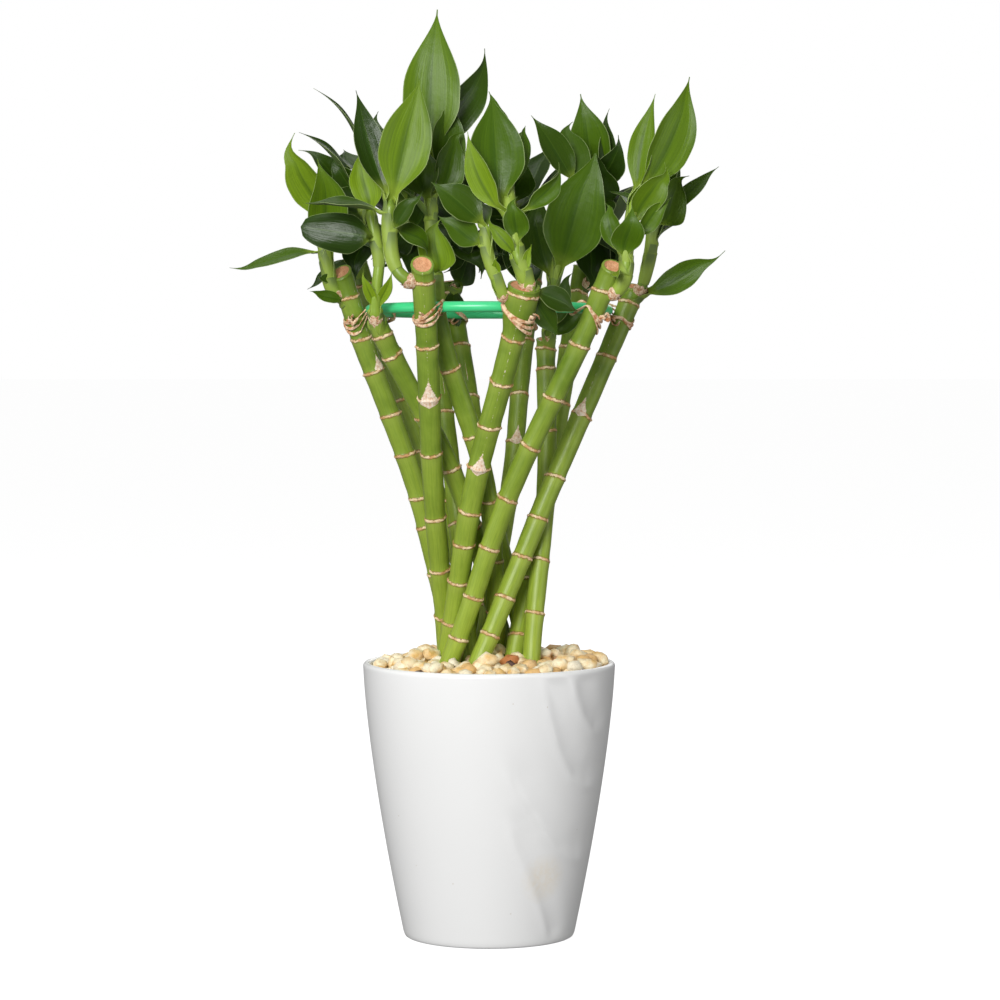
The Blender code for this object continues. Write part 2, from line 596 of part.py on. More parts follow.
def build_canes(collection):
    skin = make_material("cane_skin", (.22, .42, .05), .35)
    canes = []
    for number, spec in enumerate(CANES, 1):
        piece = cane_tube(number, 0, skin, collection)
        marks = [scar(spec, height, facing, skin, collection) for height, facing in spec["scars"]]
        if marks:
            combine(piece, marks, "UNION")
        canes.append(piece)
    return canes


def build_hoop(collection):
    plastic = make_material("hoop_plastic", (.06, .72, .26), .3)
    around, across = HOOP_SIDES
    bpy.ops.mesh.primitive_torus_add(
        major_radius=HOOP_RADIUS, minor_radius=HOOP_TUBE, major_segments=around,
        minor_segments=across, location=(0, 0, HOOP_HEIGHT), rotation=(HOOP_TILT, 0, 0))
    hoop = bpy.context.object
    hoop.name = "hoop"
    for holder in list(hoop.users_collection):
        holder.objects.unlink(hoop)
    collection.objects.link(hoop)
    hoop.data.materials.append(plastic)
    hoop.data.shade_smooth()
    return hoop


def tie_points(spec):
    """A loop round a cane and the hoop: over the tube on one side, under it on the other."""
    level = HOOP_HEIGHT
    middle = cane_axis(spec, level)
    out = Vector((middle.x, middle.y, 0)).normalized()
    level += out.y * HOOP_RADIUS * math.sin(HOOP_TILT)
    along = Vector((-out.y, out.x, 0))
    lean = (cane_axis(spec, level) - cane_axis(spec, level - .01)).normalized()
    square = (out - lean * out.dot(lean)).normalized()
    side = lean.cross(square)
    grip = cane_radius(spec, level) + TIE_SLACK
    round_tube = HOOP_TUBE + TIE_SLACK + .0002
    points = []
    for degrees in TIE_CANE_ANGLES:
        turn = math.radians(degrees)
        drop = -TIE_DROP - .0015 * math.cos(turn) + .0020 * math.sin(turn)
        across = math.cos(turn) * square + math.sin(turn) * side
        points.append(cane_axis(spec, level + drop) + across * grip)
    tube_middle = out * HOOP_RADIUS + Vector((0, 0, level))
    for degrees in TIE_HOOP_ANGLES:
        turn = math.radians(degrees)
        spread = along * TIE_SPREAD * math.sin(turn)
        points.append(tube_middle + spread + round_tube
                      * Vector((math.cos(turn) * out.x, math.cos(turn) * out.y, math.sin(turn))))
    return points


def build_ties(collection):
    paper = make_material("tie_paper", (.62, .36, .16), .7)
    ties = []
    for number in TIED_CANES:
        points = tie_points(CANES[number - 1])
        ties.append(tube(f"tie_{number:02}", points, [TIE_WIRE] * len(points), 0, paper,
                         collection, cyclic=True))
    return ties


def outline(share):
    """A blade's half width at a share of its length, of the greatest: lanceolate, with a neck."""
    if share <= 0:
        return NECK_SHARE
    ease = 1.15
    rise = (share / WIDEST_AT) ** (ease * WIDEST_AT / (1 - WIDEST_AT))
    fall = ((1 - share) / (1 - WIDEST_AT)) ** ease
    return max(rise * fall, NECK_SHARE * (1 - share) ** 3, .03)


def blade_point(spec, along, across, lift=0):
    """A point of the blade: along 0 to 1 from root to tip, across -1 to 1, lifted off its face."""
    root = Vector(spec["root"])
    chord = Vector(spec["tip"]) - root
    forward = chord.normalized()
    face = Vector(spec["look"])
    face = (face - forward * face.dot(forward)).normalized()
    side = forward.cross(face)
    turn = Matrix.Rotation(math.radians(spec["twist"]) * along, 3, forward)
    face, side = turn @ face, turn @ side
    half = spec["width"] / 2 * outline(along)
    bend = 4 * along * (1 - along)
    groove = spec["cup"] * spec["width"] * outline(along) * (across * across - .5)
    middle = root + chord * along + side * spec["sway"] * bend
    return middle + side * across * half + face * (spec["arch"] * bend + groove + lift)


def blade_sheet(spec, lift=0):
    """The blade as an open sheet: a small grid moved onto its surface, its tip one point."""
    shares = BROAD_ROWS if spec["width"] > BROAD_BLADE else NARROW_ROWS
    sheet = bmesh.new()
    bmesh.ops.create_grid(sheet, x_segments=len(shares) - 1, y_segments=2, size=1)
    rows = sorted({round(vertex.co.x, 5) for vertex in sheet.verts})
    for vertex in sheet.verts:
        row = rows.index(round(vertex.co.x, 5))
        across = vertex.co.y if row < len(shares) - 1 else 0
        vertex.co = blade_point(spec, shares[row], across, lift)
    bmesh.ops.remove_doubles(sheet, verts=sheet.verts, dist=WELD)
    bmesh.ops.triangulate(sheet, faces=sheet.faces)
    return sheet


def rooted(spec, stem):
    """The leaf with its root drawn close to the stem's middle line."""
    root = Vector(spec["root"])
    feet = []
    for start, end in zip(map(Vector, stem), map(Vector, stem[1:])):
        span = end - start
        share = min(max((root - start).dot(span) / span.length_squared, 0), 1)
        feet.append(start + span * share)
    foot = min(feet, key=lambda place: (place - root).length)
    away = root - foot
    if away.length > ROOT_REACH:
        root = foot + away * (ROOT_REACH / away.length)
    return dict(spec, root=tuple(root))


def sheet_tree(sheet):
    tree = BVHTree.FromBMesh(sheet)
    sheet.free()
    return tree


def piece_tree(piece):
    shape = bmesh.new()
    shape.from_mesh(piece.data)
    shape.transform(piece.matrix_world)
    tree = BVHTree.FromBMesh(shape)
    shape.free()
    return tree


def tip_swings():
    """Small moves of a leaf's tip, the least visible first: those in depth cost least."""
    swings = [Vector((x, y, z)) * .001 for x in (0, -3, 3, -6, 6)
              for y in range(-36, 37, 4) for z in (0, -4, 4, -8, -13)]
    return sorted(swings, key=lambda swing: abs(swing.y) + 3.5 * (abs(swing.x) + abs(swing.z)))


def bend_clear(spec, obstacles):
    """Swing the blade's tip, mostly in depth, until it misses all that grows beside it."""
    for swing in tip_swings():
        bent = dict(spec, tip=tuple(Vector(spec["tip"]) + swing))
        layers = [sheet_tree(blade_sheet(bent, share * BLADE_CLEARANCE))
                  for share in CLEARANCE_LAYERS]
        if not any(layer.overlap(tree) for tree in obstacles for layer in layers):
            return bent
    return None


def blade(name, spec, material, collection):
    """The blade as a solid: its sheet given an even thickness."""
    sheet = blade_sheet(spec)
    mesh = bpy.data.meshes.new(name)
    sheet.to_mesh(mesh)
    sheet.free()
    piece = place_mesh(name, mesh, material, collection)
    wall = piece.modifiers.new("thickness", "SOLIDIFY")
    wall.thickness = BLADE_THICKNESS
    wall.offset = 0
    return freeze(piece)


def shoot_stem(name, spec, material, collection):
    """The shoot's stem, thickest where it leaves its cane."""
    first, last = spec["radii"]
    steps = len(spec["stem"]) - 1
    radii = [first + (last - first) * step / steps for step in range(steps + 1)]
    radii[-1] = last * STEM_TIP
    return tube(name, spec["stem"], radii, 1, material, collection)


def seat_on_cane(stem, number, material, collection):
    """Cut the stem's foot to the round of its cane, with the seat gap."""
    cutter = cane_tube(number, SEAT_GAP, material, collection)
    combine(stem, [cutter], "DIFFERENCE")
    return keep_main_body(stem)


def build_shoots(collection, fixed):
    """All the stems first, then each shoot's leaves, bent clear of everything placed before."""
    green = make_material("leaf_green", (.10, .26, .03), .35)
    stems = {}
    for name, spec in SHOOTS.items():
        stem = shoot_stem(name, spec, green, collection)
        stems[name] = seat_on_cane(stem, spec["cane"], green, collection)
    trees = {name: piece_tree(stem) for name, stem in stems.items()}
    solid = [piece_tree(piece) for piece in fixed]
    grown = {name: [] for name in SHOOTS}
    for name, spec in SHOOTS.items():
        others = solid + [tree for other, tree in trees.items() if other != name]
        others += [tree for other, sheets in grown.items() if other != name for tree in sheets]
        blades = []
        for index, wanted in enumerate(spec["leaves"]):
            bent = bend_clear(rooted(wanted, spec["stem"]), others)
            if bent is None:
                print("leaf left out:", name, index)
                continue
            grown[name].append(sheet_tree(blade_sheet(bent)))
            blades.append(blade(f"{name}_leaf_{index}", bent, green, collection))
        combine(stems[name], blades, "UNION", "MANIFOLD")
        keep_main_body(stems[name])
    return list(stems.values())


def main():
    clear_scene()
    parts = make_collection(COLLECTION)
    build_pot(parts)
    build_gravel(parts)
    canes = build_canes(parts)
    hoop = build_hoop(parts)
    ties = build_ties(parts)
    build_shoots(parts, canes + [hoop] + ties)


main()
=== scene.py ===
# %% [markdown]
# # A lucky bamboo in its white pot
# Thirteen cut canes stand in a twisted ring in a gravel bed. Twist ties hold
# ten of them to a green plastic hoop, and leafy shoots spring from their
# tops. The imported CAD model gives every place. Each step below makes one
# kind of piece in more detail and lets it stand for the plain CAD solid.

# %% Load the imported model
import math
import random

import bmesh
import bpy
from mathutils import Matrix, Vector, noise


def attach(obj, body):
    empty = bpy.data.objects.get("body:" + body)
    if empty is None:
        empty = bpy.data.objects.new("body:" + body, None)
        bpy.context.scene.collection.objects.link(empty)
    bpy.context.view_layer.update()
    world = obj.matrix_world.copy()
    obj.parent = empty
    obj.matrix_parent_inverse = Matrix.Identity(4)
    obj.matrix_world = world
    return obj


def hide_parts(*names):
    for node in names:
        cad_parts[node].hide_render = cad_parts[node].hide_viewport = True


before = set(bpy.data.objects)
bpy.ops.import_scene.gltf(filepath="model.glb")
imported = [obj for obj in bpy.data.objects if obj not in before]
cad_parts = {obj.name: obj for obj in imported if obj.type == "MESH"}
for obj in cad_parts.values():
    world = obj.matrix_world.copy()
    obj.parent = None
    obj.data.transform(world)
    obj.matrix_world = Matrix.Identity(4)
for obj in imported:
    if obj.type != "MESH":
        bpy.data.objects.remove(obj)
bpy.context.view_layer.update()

MM = .001


# %% [markdown]
# ## Camera
# The plant stands 44 cm tall and is seen from the height of its hoop, from
# far away, so that perspective hardly bends it. A camera without perspective
# would look at the crown and down into the pot at one and the same angle, so
# a long lens is used: the camera moves back and the lens fills the frame.

# %% Camera
CAMERA_PLACE = (.0052, -1.7, .303)
CAMERA_TILT = math.radians(86.8)
LENS = 129

camera_lens = bpy.data.cameras.new("studio_camera")
camera_lens.lens = LENS
camera = bpy.data.objects.new("studio_camera", camera_lens)
camera.location = CAMERA_PLACE
camera.rotation_euler = (CAMERA_TILT, 0, 0)
bpy.context.scene.collection.objects.link(camera)
bpy.context.scene.camera = camera
print("camera at", CAMERA_PLACE, "with a lens of", LENS, "mm")

# %% [markdown]
# ## Colours and nodes
# Colours are picked as sRGB hex values and turned to linear light, which is
# what shader nodes work in. One helper adds any node and joins its inputs.
# Most finishes are then built as a painter would build them, by laying one
# colour over another where a value says so, and that step is a helper too.

# %% Helpers for materials
def linear(hex_colour):
    """An sRGB hex colour as linear light, with full opacity."""
    channels = [int(hex_colour[place:place + 2], 16) / 255 for place in (1, 3, 5)]
    light = [c / 12.92 if c <= .04045 else ((c + .055) / 1.055) ** 2.4 for c in channels]
    return (*light, 1)


def add_node(tree, kind, inputs=None, **settings):
    """Add a node, make its settings, and fill or join its inputs by name or number."""
    added = tree.nodes.new("ShaderNode" + kind)
    for key, value in settings.items():
        setattr(added, key, value)
    for key, value in (inputs or {}).items():
        if isinstance(value, bpy.types.NodeSocket):
            tree.links.new(value, added.inputs[key])
        else:
            added.inputs[key].default_value = linear(value) if isinstance(value, str) else value
    return added


def new_material(name, roughness, **constants):
    """A material with a Principled shader, and the constants of that shader."""
    material = bpy.data.materials.new(name)
    material.use_nodes = True
    shader = material.node_tree.nodes["Principled BSDF"]
    shader.inputs["Roughness"].default_value = roughness
    for key, value in constants.items():
        shader.inputs[key.replace("_", " ")].default_value = value
    return material, material.node_tree, shader


def laid_over(tree, under, over, value, none_at=0, full_at=1, most=1):
    """Lay a colour over another, the more the nearer a value comes to full_at."""
    share = add_node(tree, "MapRange", {"Value": value, "From Min": none_at,
                                        "From Max": full_at, "To Max": most})
    return add_node(tree, "Mix", {0: share.outputs[0], 6: under, 7: over},
                    data_type="RGBA").outputs[2]


print("white in linear light:", linear("#ffffff"))

# %% [markdown]
# ## Studio
# A pale seamless floor and a white surround, so that nothing colours the
# glaze. The floor could be lit until it is white, but that would wash out the
# pot, so the paper glows a little by itself and throws no light upwards. One
# large soft light stands above the camera, to its left, and does most of the
# work. Four weak ones fill in from the left, the right, above and behind.

# %% Floor
FLOOR_HALF_SIDE = 12
FLOOR_GLOW = .90

# Matt photo-studio paper, whose fibres are about 1 mm long and hardly show.
seamless_paper, tree, shader = new_material("seamless_paper", .9, Specular_IOR_Level=.2)
fibre = add_node(tree, "TexNoise", {"Scale": 900, "Detail": 2})
shader.inputs["Emission Color"].default_value = linear("#ffffff")
shader.inputs["Emission Strength"].default_value = FLOOR_GLOW
tree.links.new(laid_over(tree, "#9c9c9b", "#a2a2a2", fibre.outputs["Fac"]),
               shader.inputs["Base Color"])

shape = bmesh.new()
bmesh.ops.create_grid(shape, x_segments=1, y_segments=1, size=FLOOR_HALF_SIDE)
floor_mesh = bpy.data.meshes.new("studio_floor")
shape.to_mesh(floor_mesh)
shape.free()
floor_mesh.materials.append(seamless_paper)
floor = bpy.data.objects.new("studio_floor", floor_mesh)
bpy.context.scene.collection.objects.link(floor)
floor.visible_diffuse = False
floor.visible_glossy = False
print("floor laid at z = 0")


# %% Lights
AIM = Vector((0, 0, .24))
SURROUND_LIGHT = .22
SOFTBOXES = (  # name, place and side in metres, power in watts
    ("key_softbox", (-.50, -1.60, .85), .7, 28),
    ("left_softbox", (-1.5, -.6, .35), .9, 3),
    ("fill_softbox", (1.4, -.8, .1), .9, 6),
    ("top_softbox", (-.2, .2, 1.6), 1.0, 6),
    ("back_softbox", (.3, 1.6, .9), 1.0, 5),
)


def soft_light(name, place, side, power):
    """A square softbox that faces the middle of the plant."""
    lamp = bpy.data.lights.new(name, "AREA")
    lamp.shape = "SQUARE"
    lamp.size = side
    lamp.energy = power
    holder = bpy.data.objects.new(name, lamp)
    holder.location = place
    holder.rotation_euler = (AIM - Vector(place)).to_track_quat("-Z", "Y").to_euler()
    bpy.context.scene.collection.objects.link(holder)


for softbox in SOFTBOXES:
    soft_light(*softbox)

# The surround is seen as white but lights the plant much less, so that the
# softboxes still shape it.
surround = bpy.data.worlds.new("white_surround")
surround.use_nodes = True
tree = surround.node_tree
background = tree.nodes["Background"]
background.inputs["Color"].default_value = linear("#ffffff")
seen = add_node(tree, "LightPath").outputs["Is Camera Ray"]
strength = add_node(tree, "MapRange", {"Value": seen, "To Min": SURROUND_LIGHT, "To Max": 1})
tree.links.new(strength.outputs[0], background.inputs["Strength"])
bpy.context.scene.world = surround
bpy.context.scene.view_settings.view_transform = "Standard"
print("softboxes:", len(SOFTBOXES))

# %% [markdown]
# ## Turning and finishing a piece
# Most pieces here are round: the pot, the hoop, every cane and stem. Each
# could start as a cylinder, but a profile spun about the Z axis, like clay on
# a wheel, gives every lip and ring at once. A bent piece is turned straight
# first, detailed while that is easy, and then bent onto its axis.

# %% Helpers for pieces
SHARP_ANGLE = math.radians(50)


def turned(profile, steps):
    """Spin a profile of (radius, height) points about the Z axis into a closed shape."""
    shape = bmesh.new()
    corners = [shape.verts.new((radius, 0, height)) for radius, height in profile]
    edges = [shape.edges.new(pair) for pair in zip(corners, corners[1:])]
    bmesh.ops.spin(shape, geom=corners + edges, axis=(0, 0, 1), cent=(0, 0, 0),
                   steps=steps, angle=math.tau, use_merge=True)
    bmesh.ops.remove_doubles(shape, verts=shape.verts, dist=1e-6)
    bmesh.ops.recalc_face_normals(shape, faces=shape.faces)
    return shape


def finish(shape, name, materials, nodes):
    """Turn a shape into a piece that moves with the plant and stands for CAD nodes."""
    mesh = bpy.data.meshes.new(name)
    shape.to_mesh(mesh)
    shape.free()
    for material in materials:
        mesh.materials.append(material)
    mesh.shade_smooth()
    mesh.set_sharp_from_angle(angle=SHARP_ANGLE)
    piece = bpy.data.objects.new(name, mesh)
    bpy.context.scene.collection.objects.link(piece)
    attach(piece, "root")
    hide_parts(*nodes)
    print(name, "faces:", len(mesh.polygons))
    return piece


def smoothstep(value, low, high):
    """0 below low, 1 above high, and a soft curve between them."""
    share = min(max((value - low) / (high - low), 0), 1)
    return share * share * (3 - 2 * share)


print("halfway up a soft step:", smoothstep(.5, 0, 1))

# %% [markdown]
# ## The pot
# A slip-cast ceramic pot with a satin white glaze, 120 mm across the rim,
# whose sides swell a little on their way down to the foot. Soft folds sweep
# down one side, as if the clay had been draped. The wall is turned with
# many rows, and the rows are then pressed in and out along each fold's line.
# A bump map would shade the folds but leave the wall's edge straight.

# %% Pot profile
POT_HEIGHT = .131
RIM_RADIUS = .060
FOOT_RADIUS = .0405
POT_WALL = .0036
POT_FLOOR = .006
SIDE_SWELL = 1.42
LIP_STEPS = 10
SPIN_STEPS = 192


def pot_radius(height):
    """The outer wall's radius, without the folds."""
    share = min(max(height / POT_HEIGHT, 0), 1)
    return FOOT_RADIUS + (RIM_RADIUS - FOOT_RADIUS) * (1 - (1 - share) ** SIDE_SWELL)


def lip_arc():
    """The rounded lip, from its inner side to its outer side."""
    radius = POT_WALL / 2
    turns = [math.pi * (1 - step / LIP_STEPS) for step in range(LIP_STEPS + 1)]
    return [(RIM_RADIUS - radius + radius * math.cos(turn),
             POT_HEIGHT - radius + radius * math.sin(turn)) for turn in turns]


def pot_profile():
    """From the middle of the floor, up the inside, over the lip, down and under the foot."""
    upwards = [POT_FLOOR + .003 + .0115 * step for step in range(11)]
    inside = [(pot_radius(height) - POT_WALL, height) for height in upwards]
    downwards = [.128 - .0014 * step for step in range(91)]
    outside = [(pot_radius(height), height) for height in downwards]
    foot = [(FOOT_RADIUS, .0010), (FOOT_RADIUS - .0003, .0004), (FOOT_RADIUS - .0010, 0),
            (FOOT_RADIUS - .0045, 0), (FOOT_RADIUS - .0060, .0012), (0, .0012)]
    corner = (pot_radius(POT_FLOOR) - POT_WALL - .003, POT_FLOOR)
    return [(0, POT_FLOOR), corner] + inside + lip_arc() + outside + foot


print("pot rows:", len(pot_profile()))

# %% Draped folds
DEGREE = .9  # mm of wall in one degree of turn
CREST, CREST_WIDTH = .55, 2.4
HOLLOW, HOLLOW_WIDTH, HOLLOW_GAP = .75, 6, 7

# Each fold is a line of (angle round the pot in degrees, height in mm), from its top end.
FOLDS = (
    ((-52, 131), (-49, 127), (-46.5, 118), (-41, 108), (-33, 101), (-20, 98)),
    ((-70, 131), (-66, 124), (-61, 108), (-54.5, 92), (-45.5, 80), (-34, 75), (-16, 74)),
    ((-88, 96), (-82, 85), (-78, 77), (-70, 65), (-61, 55), (-49.5, 46), (-34.5, 40), (-14, 39)),
    ((-86, 66), (-79, 57), (-75, 47), (-67.5, 34), (-59.5, 21), (-50, 6), (-46, -4)),
)


def fold_point(fold, share):
    """A point on a fold, from 0 at its top end to 1 at its lower end."""
    place = min(share, .9999) * (len(fold) - 1)
    index = int(place)
    return Vector(fold[index]).lerp(Vector(fold[index + 1]), place - index)


def press_folds(shape):
    """Press the wall in below each fold and raise a soft crest along it."""
    shares = [step / 60 for step in range(61)]
    lines = [[(fold_point(fold, share), share) for share in shares] for fold in FOLDS]
    for vertex in shape.verts:
        radius = math.hypot(vertex.co.x, vertex.co.y)
        height = vertex.co.z / MM
        if radius < pot_radius(vertex.co.z) - .0005 or height < 1.5:
            continue
        angle = math.degrees(math.atan2(vertex.co.y, vertex.co.x))
        push = 0
        for line in lines:
            point, share = min(line, key=lambda item: ((item[0].x - angle) * DEGREE) ** 2
                               + (item[0].y - height) ** 2)
            across = Vector(((angle - point.x) * DEGREE, height - point.y))
            gap = across.length * (1 if across.x + across.y > 0 else -1)
            strength = smoothstep(share, 0, .25) * smoothstep(1 - share, 0, .2)
            crest = CREST * math.exp(-(gap / CREST_WIDTH) ** 2)
            hollow = HOLLOW * math.exp(-((gap - HOLLOW_GAP) / HOLLOW_WIDTH) ** 2)
            push += strength * (crest - hollow)
        push *= smoothstep(height, 1.5, 8) * smoothstep(POT_HEIGHT / MM - height, 1, 6)
        scale = 1 + push * MM / radius
        vertex.co.x *= scale
        vertex.co.y *= scale


print("folds:", len(FOLDS))

# %% [markdown]
# ## The glaze
# Glazed stoneware, fired white: the glaze pools into a smooth satin skin, so
# highlights are broad and soft, and a second, sharper reflection sits in the
# clear coat. Iron specks burn through here and there, with a faint tan stain
# on one side, low down.

# %% White glaze
# Clouds in the white are about 70 mm across, the stain's grain 2.4 mm, and the
# specks are 10 mm apart.
STAIN_PLACE = (.0255, -.0390, .033)

white_glaze, tree, shader = new_material("white_glaze", .34, Coat_Weight=.25, Coat_Roughness=.12)
place = add_node(tree, "TexCoord").outputs["Object"]
cloud = add_node(tree, "TexNoise", {"Vector": place, "Scale": 14, "Detail": 2})
white = laid_over(tree, "#f1f1f0", "#f7f7f6", cloud.outputs["Fac"])
stain_gap = add_node(tree, "VectorMath", {0: place, 1: STAIN_PLACE}, operation="DISTANCE")
stain_noise = add_node(tree, "TexNoise", {"Vector": place, "Scale": 420, "Detail": 3})
stain_edge = add_node(tree, "MapRange", {"Value": stain_gap.outputs["Value"], "From Min": .004,
                                         "From Max": .013, "To Min": .55, "To Max": 0})
stain_share = add_node(tree, "Math", {0: stain_edge.outputs[0], 1: stain_noise.outputs["Fac"]},
                       operation="MULTIPLY")
stained = laid_over(tree, white, "#ecd9b4", stain_share.outputs[0])
specks = add_node(tree, "TexVoronoi", {"Vector": place, "Scale": 95, "Randomness": 1})
tree.links.new(laid_over(tree, stained, "#b9a78c", specks.outputs["Distance"], .035, .022, .45),
               shader.inputs["Base Color"])
ripple = add_node(tree, "Bump", {"Height": cloud.outputs["Fac"], "Strength": .12,
                                 "Distance": .0006})
tree.links.new(ripple.outputs["Normal"], shader.inputs["Normal"])

pot = turned(pot_profile(), SPIN_STEPS)
press_folds(pot)
finish(pot, "pot_glazed", [white_glaze], ["pot"])

# %% [markdown]
# ## The gravel
# Crushed quartz and limestone pebbles, 7 to 12 mm, heaped against the canes.
# A bed fills the pot, and three layers of stones lie on it, each one more
# loosely strewn than the one below. A stone could be carved by cuts, but
# hundreds are needed, so each is an icosphere of 80 faces pushed about by
# noise, which gives the lumpy, worn corners of crushed stone.

# %% Gravel bed
BED_EDGE = .1265
BED_MOUND = .006
BED_RADIUS = pot_radius(BED_EDGE) - POT_WALL
BED_GAP = .0004  # what keeps the bed and the pot's wall apart
WALL_STONES = BED_RADIUS - .0042  # where the outermost stones have their middles
JITTER = .22
SEEDS = 99


def bed_height(radius):
    """The gravel's level: a low mound in the middle of the pot."""
    return BED_EDGE + BED_MOUND * (1 - (radius / BED_RADIUS) ** 2)


def gravel_bed():
    """The filled body under the loose stones."""
    shares = [step / 12 for step in range(13)]
    top = [((BED_RADIUS - BED_GAP) * share, bed_height(BED_RADIUS * share) - .004)
           for share in shares]
    wall = [(pot_radius(height) - POT_WALL - BED_GAP, height) for height in (.09, .05, .012)]
    return turned(top + wall + [(.034, POT_FLOOR + BED_GAP), (0, POT_FLOOR + BED_GAP)], 64)


def add_stone(shape, tint, place, size, draw):
    """Add one lumpy stone and note its tint on its corners."""
    made = bmesh.ops.create_icosphere(shape, subdivisions=2, radius=1)["verts"]
    seed = Vector([draw.uniform(0, SEEDS) for _ in range(3)])
    for vertex in made:
        lump = noise.noise(vertex.co * 1.1 + seed)
        chip = noise.noise(vertex.co * 2.6 + seed)
        vertex.co *= 1 + .34 * lump + .24 * chip
        vertex[tint] = seed.x / SEEDS
    turn = Matrix.Rotation(draw.uniform(0, math.tau), 4, "Z")
    turn = turn @ Matrix.Rotation(draw.uniform(-.6, .6), 4, "X")
    squash = Matrix.Diagonal((size * draw.uniform(.9, 1.25), size * draw.uniform(.8, 1.05),
                              size * draw.uniform(.62, .85), 1))
    bmesh.ops.transform(shape, matrix=Matrix.Translation(place) @ turn @ squash, verts=made)


def stone_places(draw, spacing, lift):
    """A jittered honeycomb of places, the outermost pushed in against the wall."""
    row_step = spacing * math.sqrt(3) / 2
    rows = int(WALL_STONES / row_step) + 1
    for row in range(-rows, rows + 1):
        for column in range(-rows - 1, rows + 2):
            x = (column + row % 2 / 2) * spacing + draw.uniform(-JITTER, JITTER) * spacing
            y = row * row_step + draw.uniform(-JITTER, JITTER) * spacing
            radius = math.hypot(x, y)
            if radius < WALL_STONES + .45 * spacing:
                inward = min(1, WALL_STONES / max(radius, WALL_STONES))
                yield Vector((x * inward, y * inward,
                              bed_height(radius) + lift + draw.uniform(-.0008, .0012)))


print("bed level:", round(bed_height(0) / MM, 1), "mm in the middle")

# %% Gravel material
# Broken quartz and limestone: matt, cream with ochre stains, and now and then
# a rust-red or a dark stone. The sugary grain is 1.4 mm, the stains 7 mm wide.
STONE_TINTS = (  # from which tint, full at which tint, colour
    (.70, .85, "#e8bd7c"), (.965, .97, "#c9814a"), (.20, .10, "#fdf3d8"), (.026, .024, "#553a33"))

pebbles, tree, shader = new_material("quartz_pebbles", .62)
place = add_node(tree, "TexCoord").outputs["Object"]
tint = add_node(tree, "Attribute", attribute_name="tint").outputs["Fac"]
sugar = add_node(tree, "TexNoise", {"Vector": place, "Scale": 700, "Detail": 4, "Roughness": .7})
patch = add_node(tree, "TexNoise", {"Vector": place, "Scale": 150, "Detail": 3})
warm = laid_over(tree, "#fff4d2", "#e8bf76", patch.outputs["Fac"], .40, .64)
for none_at, full_at, colour in STONE_TINTS:
    warm = laid_over(tree, warm, colour, tint, none_at, full_at)
tree.links.new(laid_over(tree, warm, "#9a6a3c", sugar.outputs["Fac"], .48, .30, .35),
               shader.inputs["Base Color"])
rough = add_node(tree, "Bump", {"Height": sugar.outputs["Fac"], "Strength": .7,
                                "Distance": .0006})
tree.links.new(rough.outputs["Normal"], shader.inputs["Normal"])
print("kinds of stone:", len(STONE_TINTS) + 1)

# %% [markdown]
# ## The canes' axes
# Each cane leans and bows a little, so it is described by where its middle
# is at soil level and at hoop level. A curve drawn by hand could do it too,
# but the same numbers made the CAD canes, and every detail below is placed
# by them.

# %% Canes' numbers
SOIL = .131
HOOP_HEIGHT = .298
HEAD_START, HEAD_END = .285, .299


def cane(base, top, bow, height, radius, nodes, scars=(), head=0):
    """One cane in mm.

    base and top are its middle (x, y) at soil and at hoop level, bow is how far it bends away
    between them, height is where it is cut, nodes are the heights of its rings, a scar is (height,
    the angle that it faces, size), and head is how much its top is swollen.
    """
    return dict(base=base, top=top, bow=bow, height=height, radius=radius, nodes=nodes,
                scars=scars, head=head)


CANES = (
    cane((-14.7, 20.2), (-64.5, -4), (4.3, 1.2), 316, 4.9,
         (304.5, 285, 269, 248.5, 229.5, 209, 195, 172, 150), ((273.5, -40, .6),)),
    cane((-.2, 24.9), (-56, 32), (1.2, 1.4), 320, 4.5,
         (310, 284, 255, 230, 205, 172), ((262, 150, .8),)),
    cane((10.7, 13.4), (-54, -38), (7.5, -.1), 293, 4.6,
         (286.5, 277.6, 249, 223.6, 196, 168), ((238, -150, .8),)),
    cane((-19.7, 8.8), (-29, -58.5), (-1.6, -.7), 319, 5,
         (311.7, 282, 258, 231.5, 201, 176, 153), ((262.5, -90, 1),)),
    cane((6.2, .7), (-24.7, -37), (8.1, -.2), 304.5, 4.6,
         (300, 271, 240, 209, 180, 155)),
    cane((-20.7, -4.1), (13.9, -63.6), (-3.6, 1.4), 309, 5.2,
         (306, 285.7, 265.5, 245, 225.7, 204.5, 189, 171, 151), ((229.5, -92, .8),), 2.1),
    cane((-19.2, -18.5), (48.8, -43.4), (-4.4, -.8), 318.5, 4.8,
         (307, 282, 257.5, 235, 210.5, 187, 164, 144)),
    cane((-5.8, -25.1), (65, .5), (-.4, .1), 309, 4.8,
         (301, 276, 248.5, 219.5, 200, 182, 163, 146), ((252.5, -105, .7),)),
    cane((11.1, -13), (42, 50), (1.6, .5), 319.7, 4.6,
         (305.5, 279, 252, 226, 198, 169.5, 143.7), ((262, 60, .8),)),
    cane((19.9, -17.8), (27.6, 12.1), (3.3, 1.2), 284, 4.5,
         (279.5, 270, 241, 207, 180, 155)),
    cane((-3.6, 11.6), (19, 62), (2.6, .9), 320.8, 4.5,
         (312, 283, 256.5, 234, 205, 178, 155), ((237.5, -80, .7),)),
    cane((19, -1), (-17.8, 62.7), (-2.5, -2.7), 312, 4.5,
         (305, 280, 255, 225, 195, 165), ((268, 95, .8),)),
    cane((-8.6, -5.8), (-29, 58), (1.6, -.5), 308, 4.5,
         (302, 277, 248, 222, 195, 165), ((262, 110, .8),)),
)


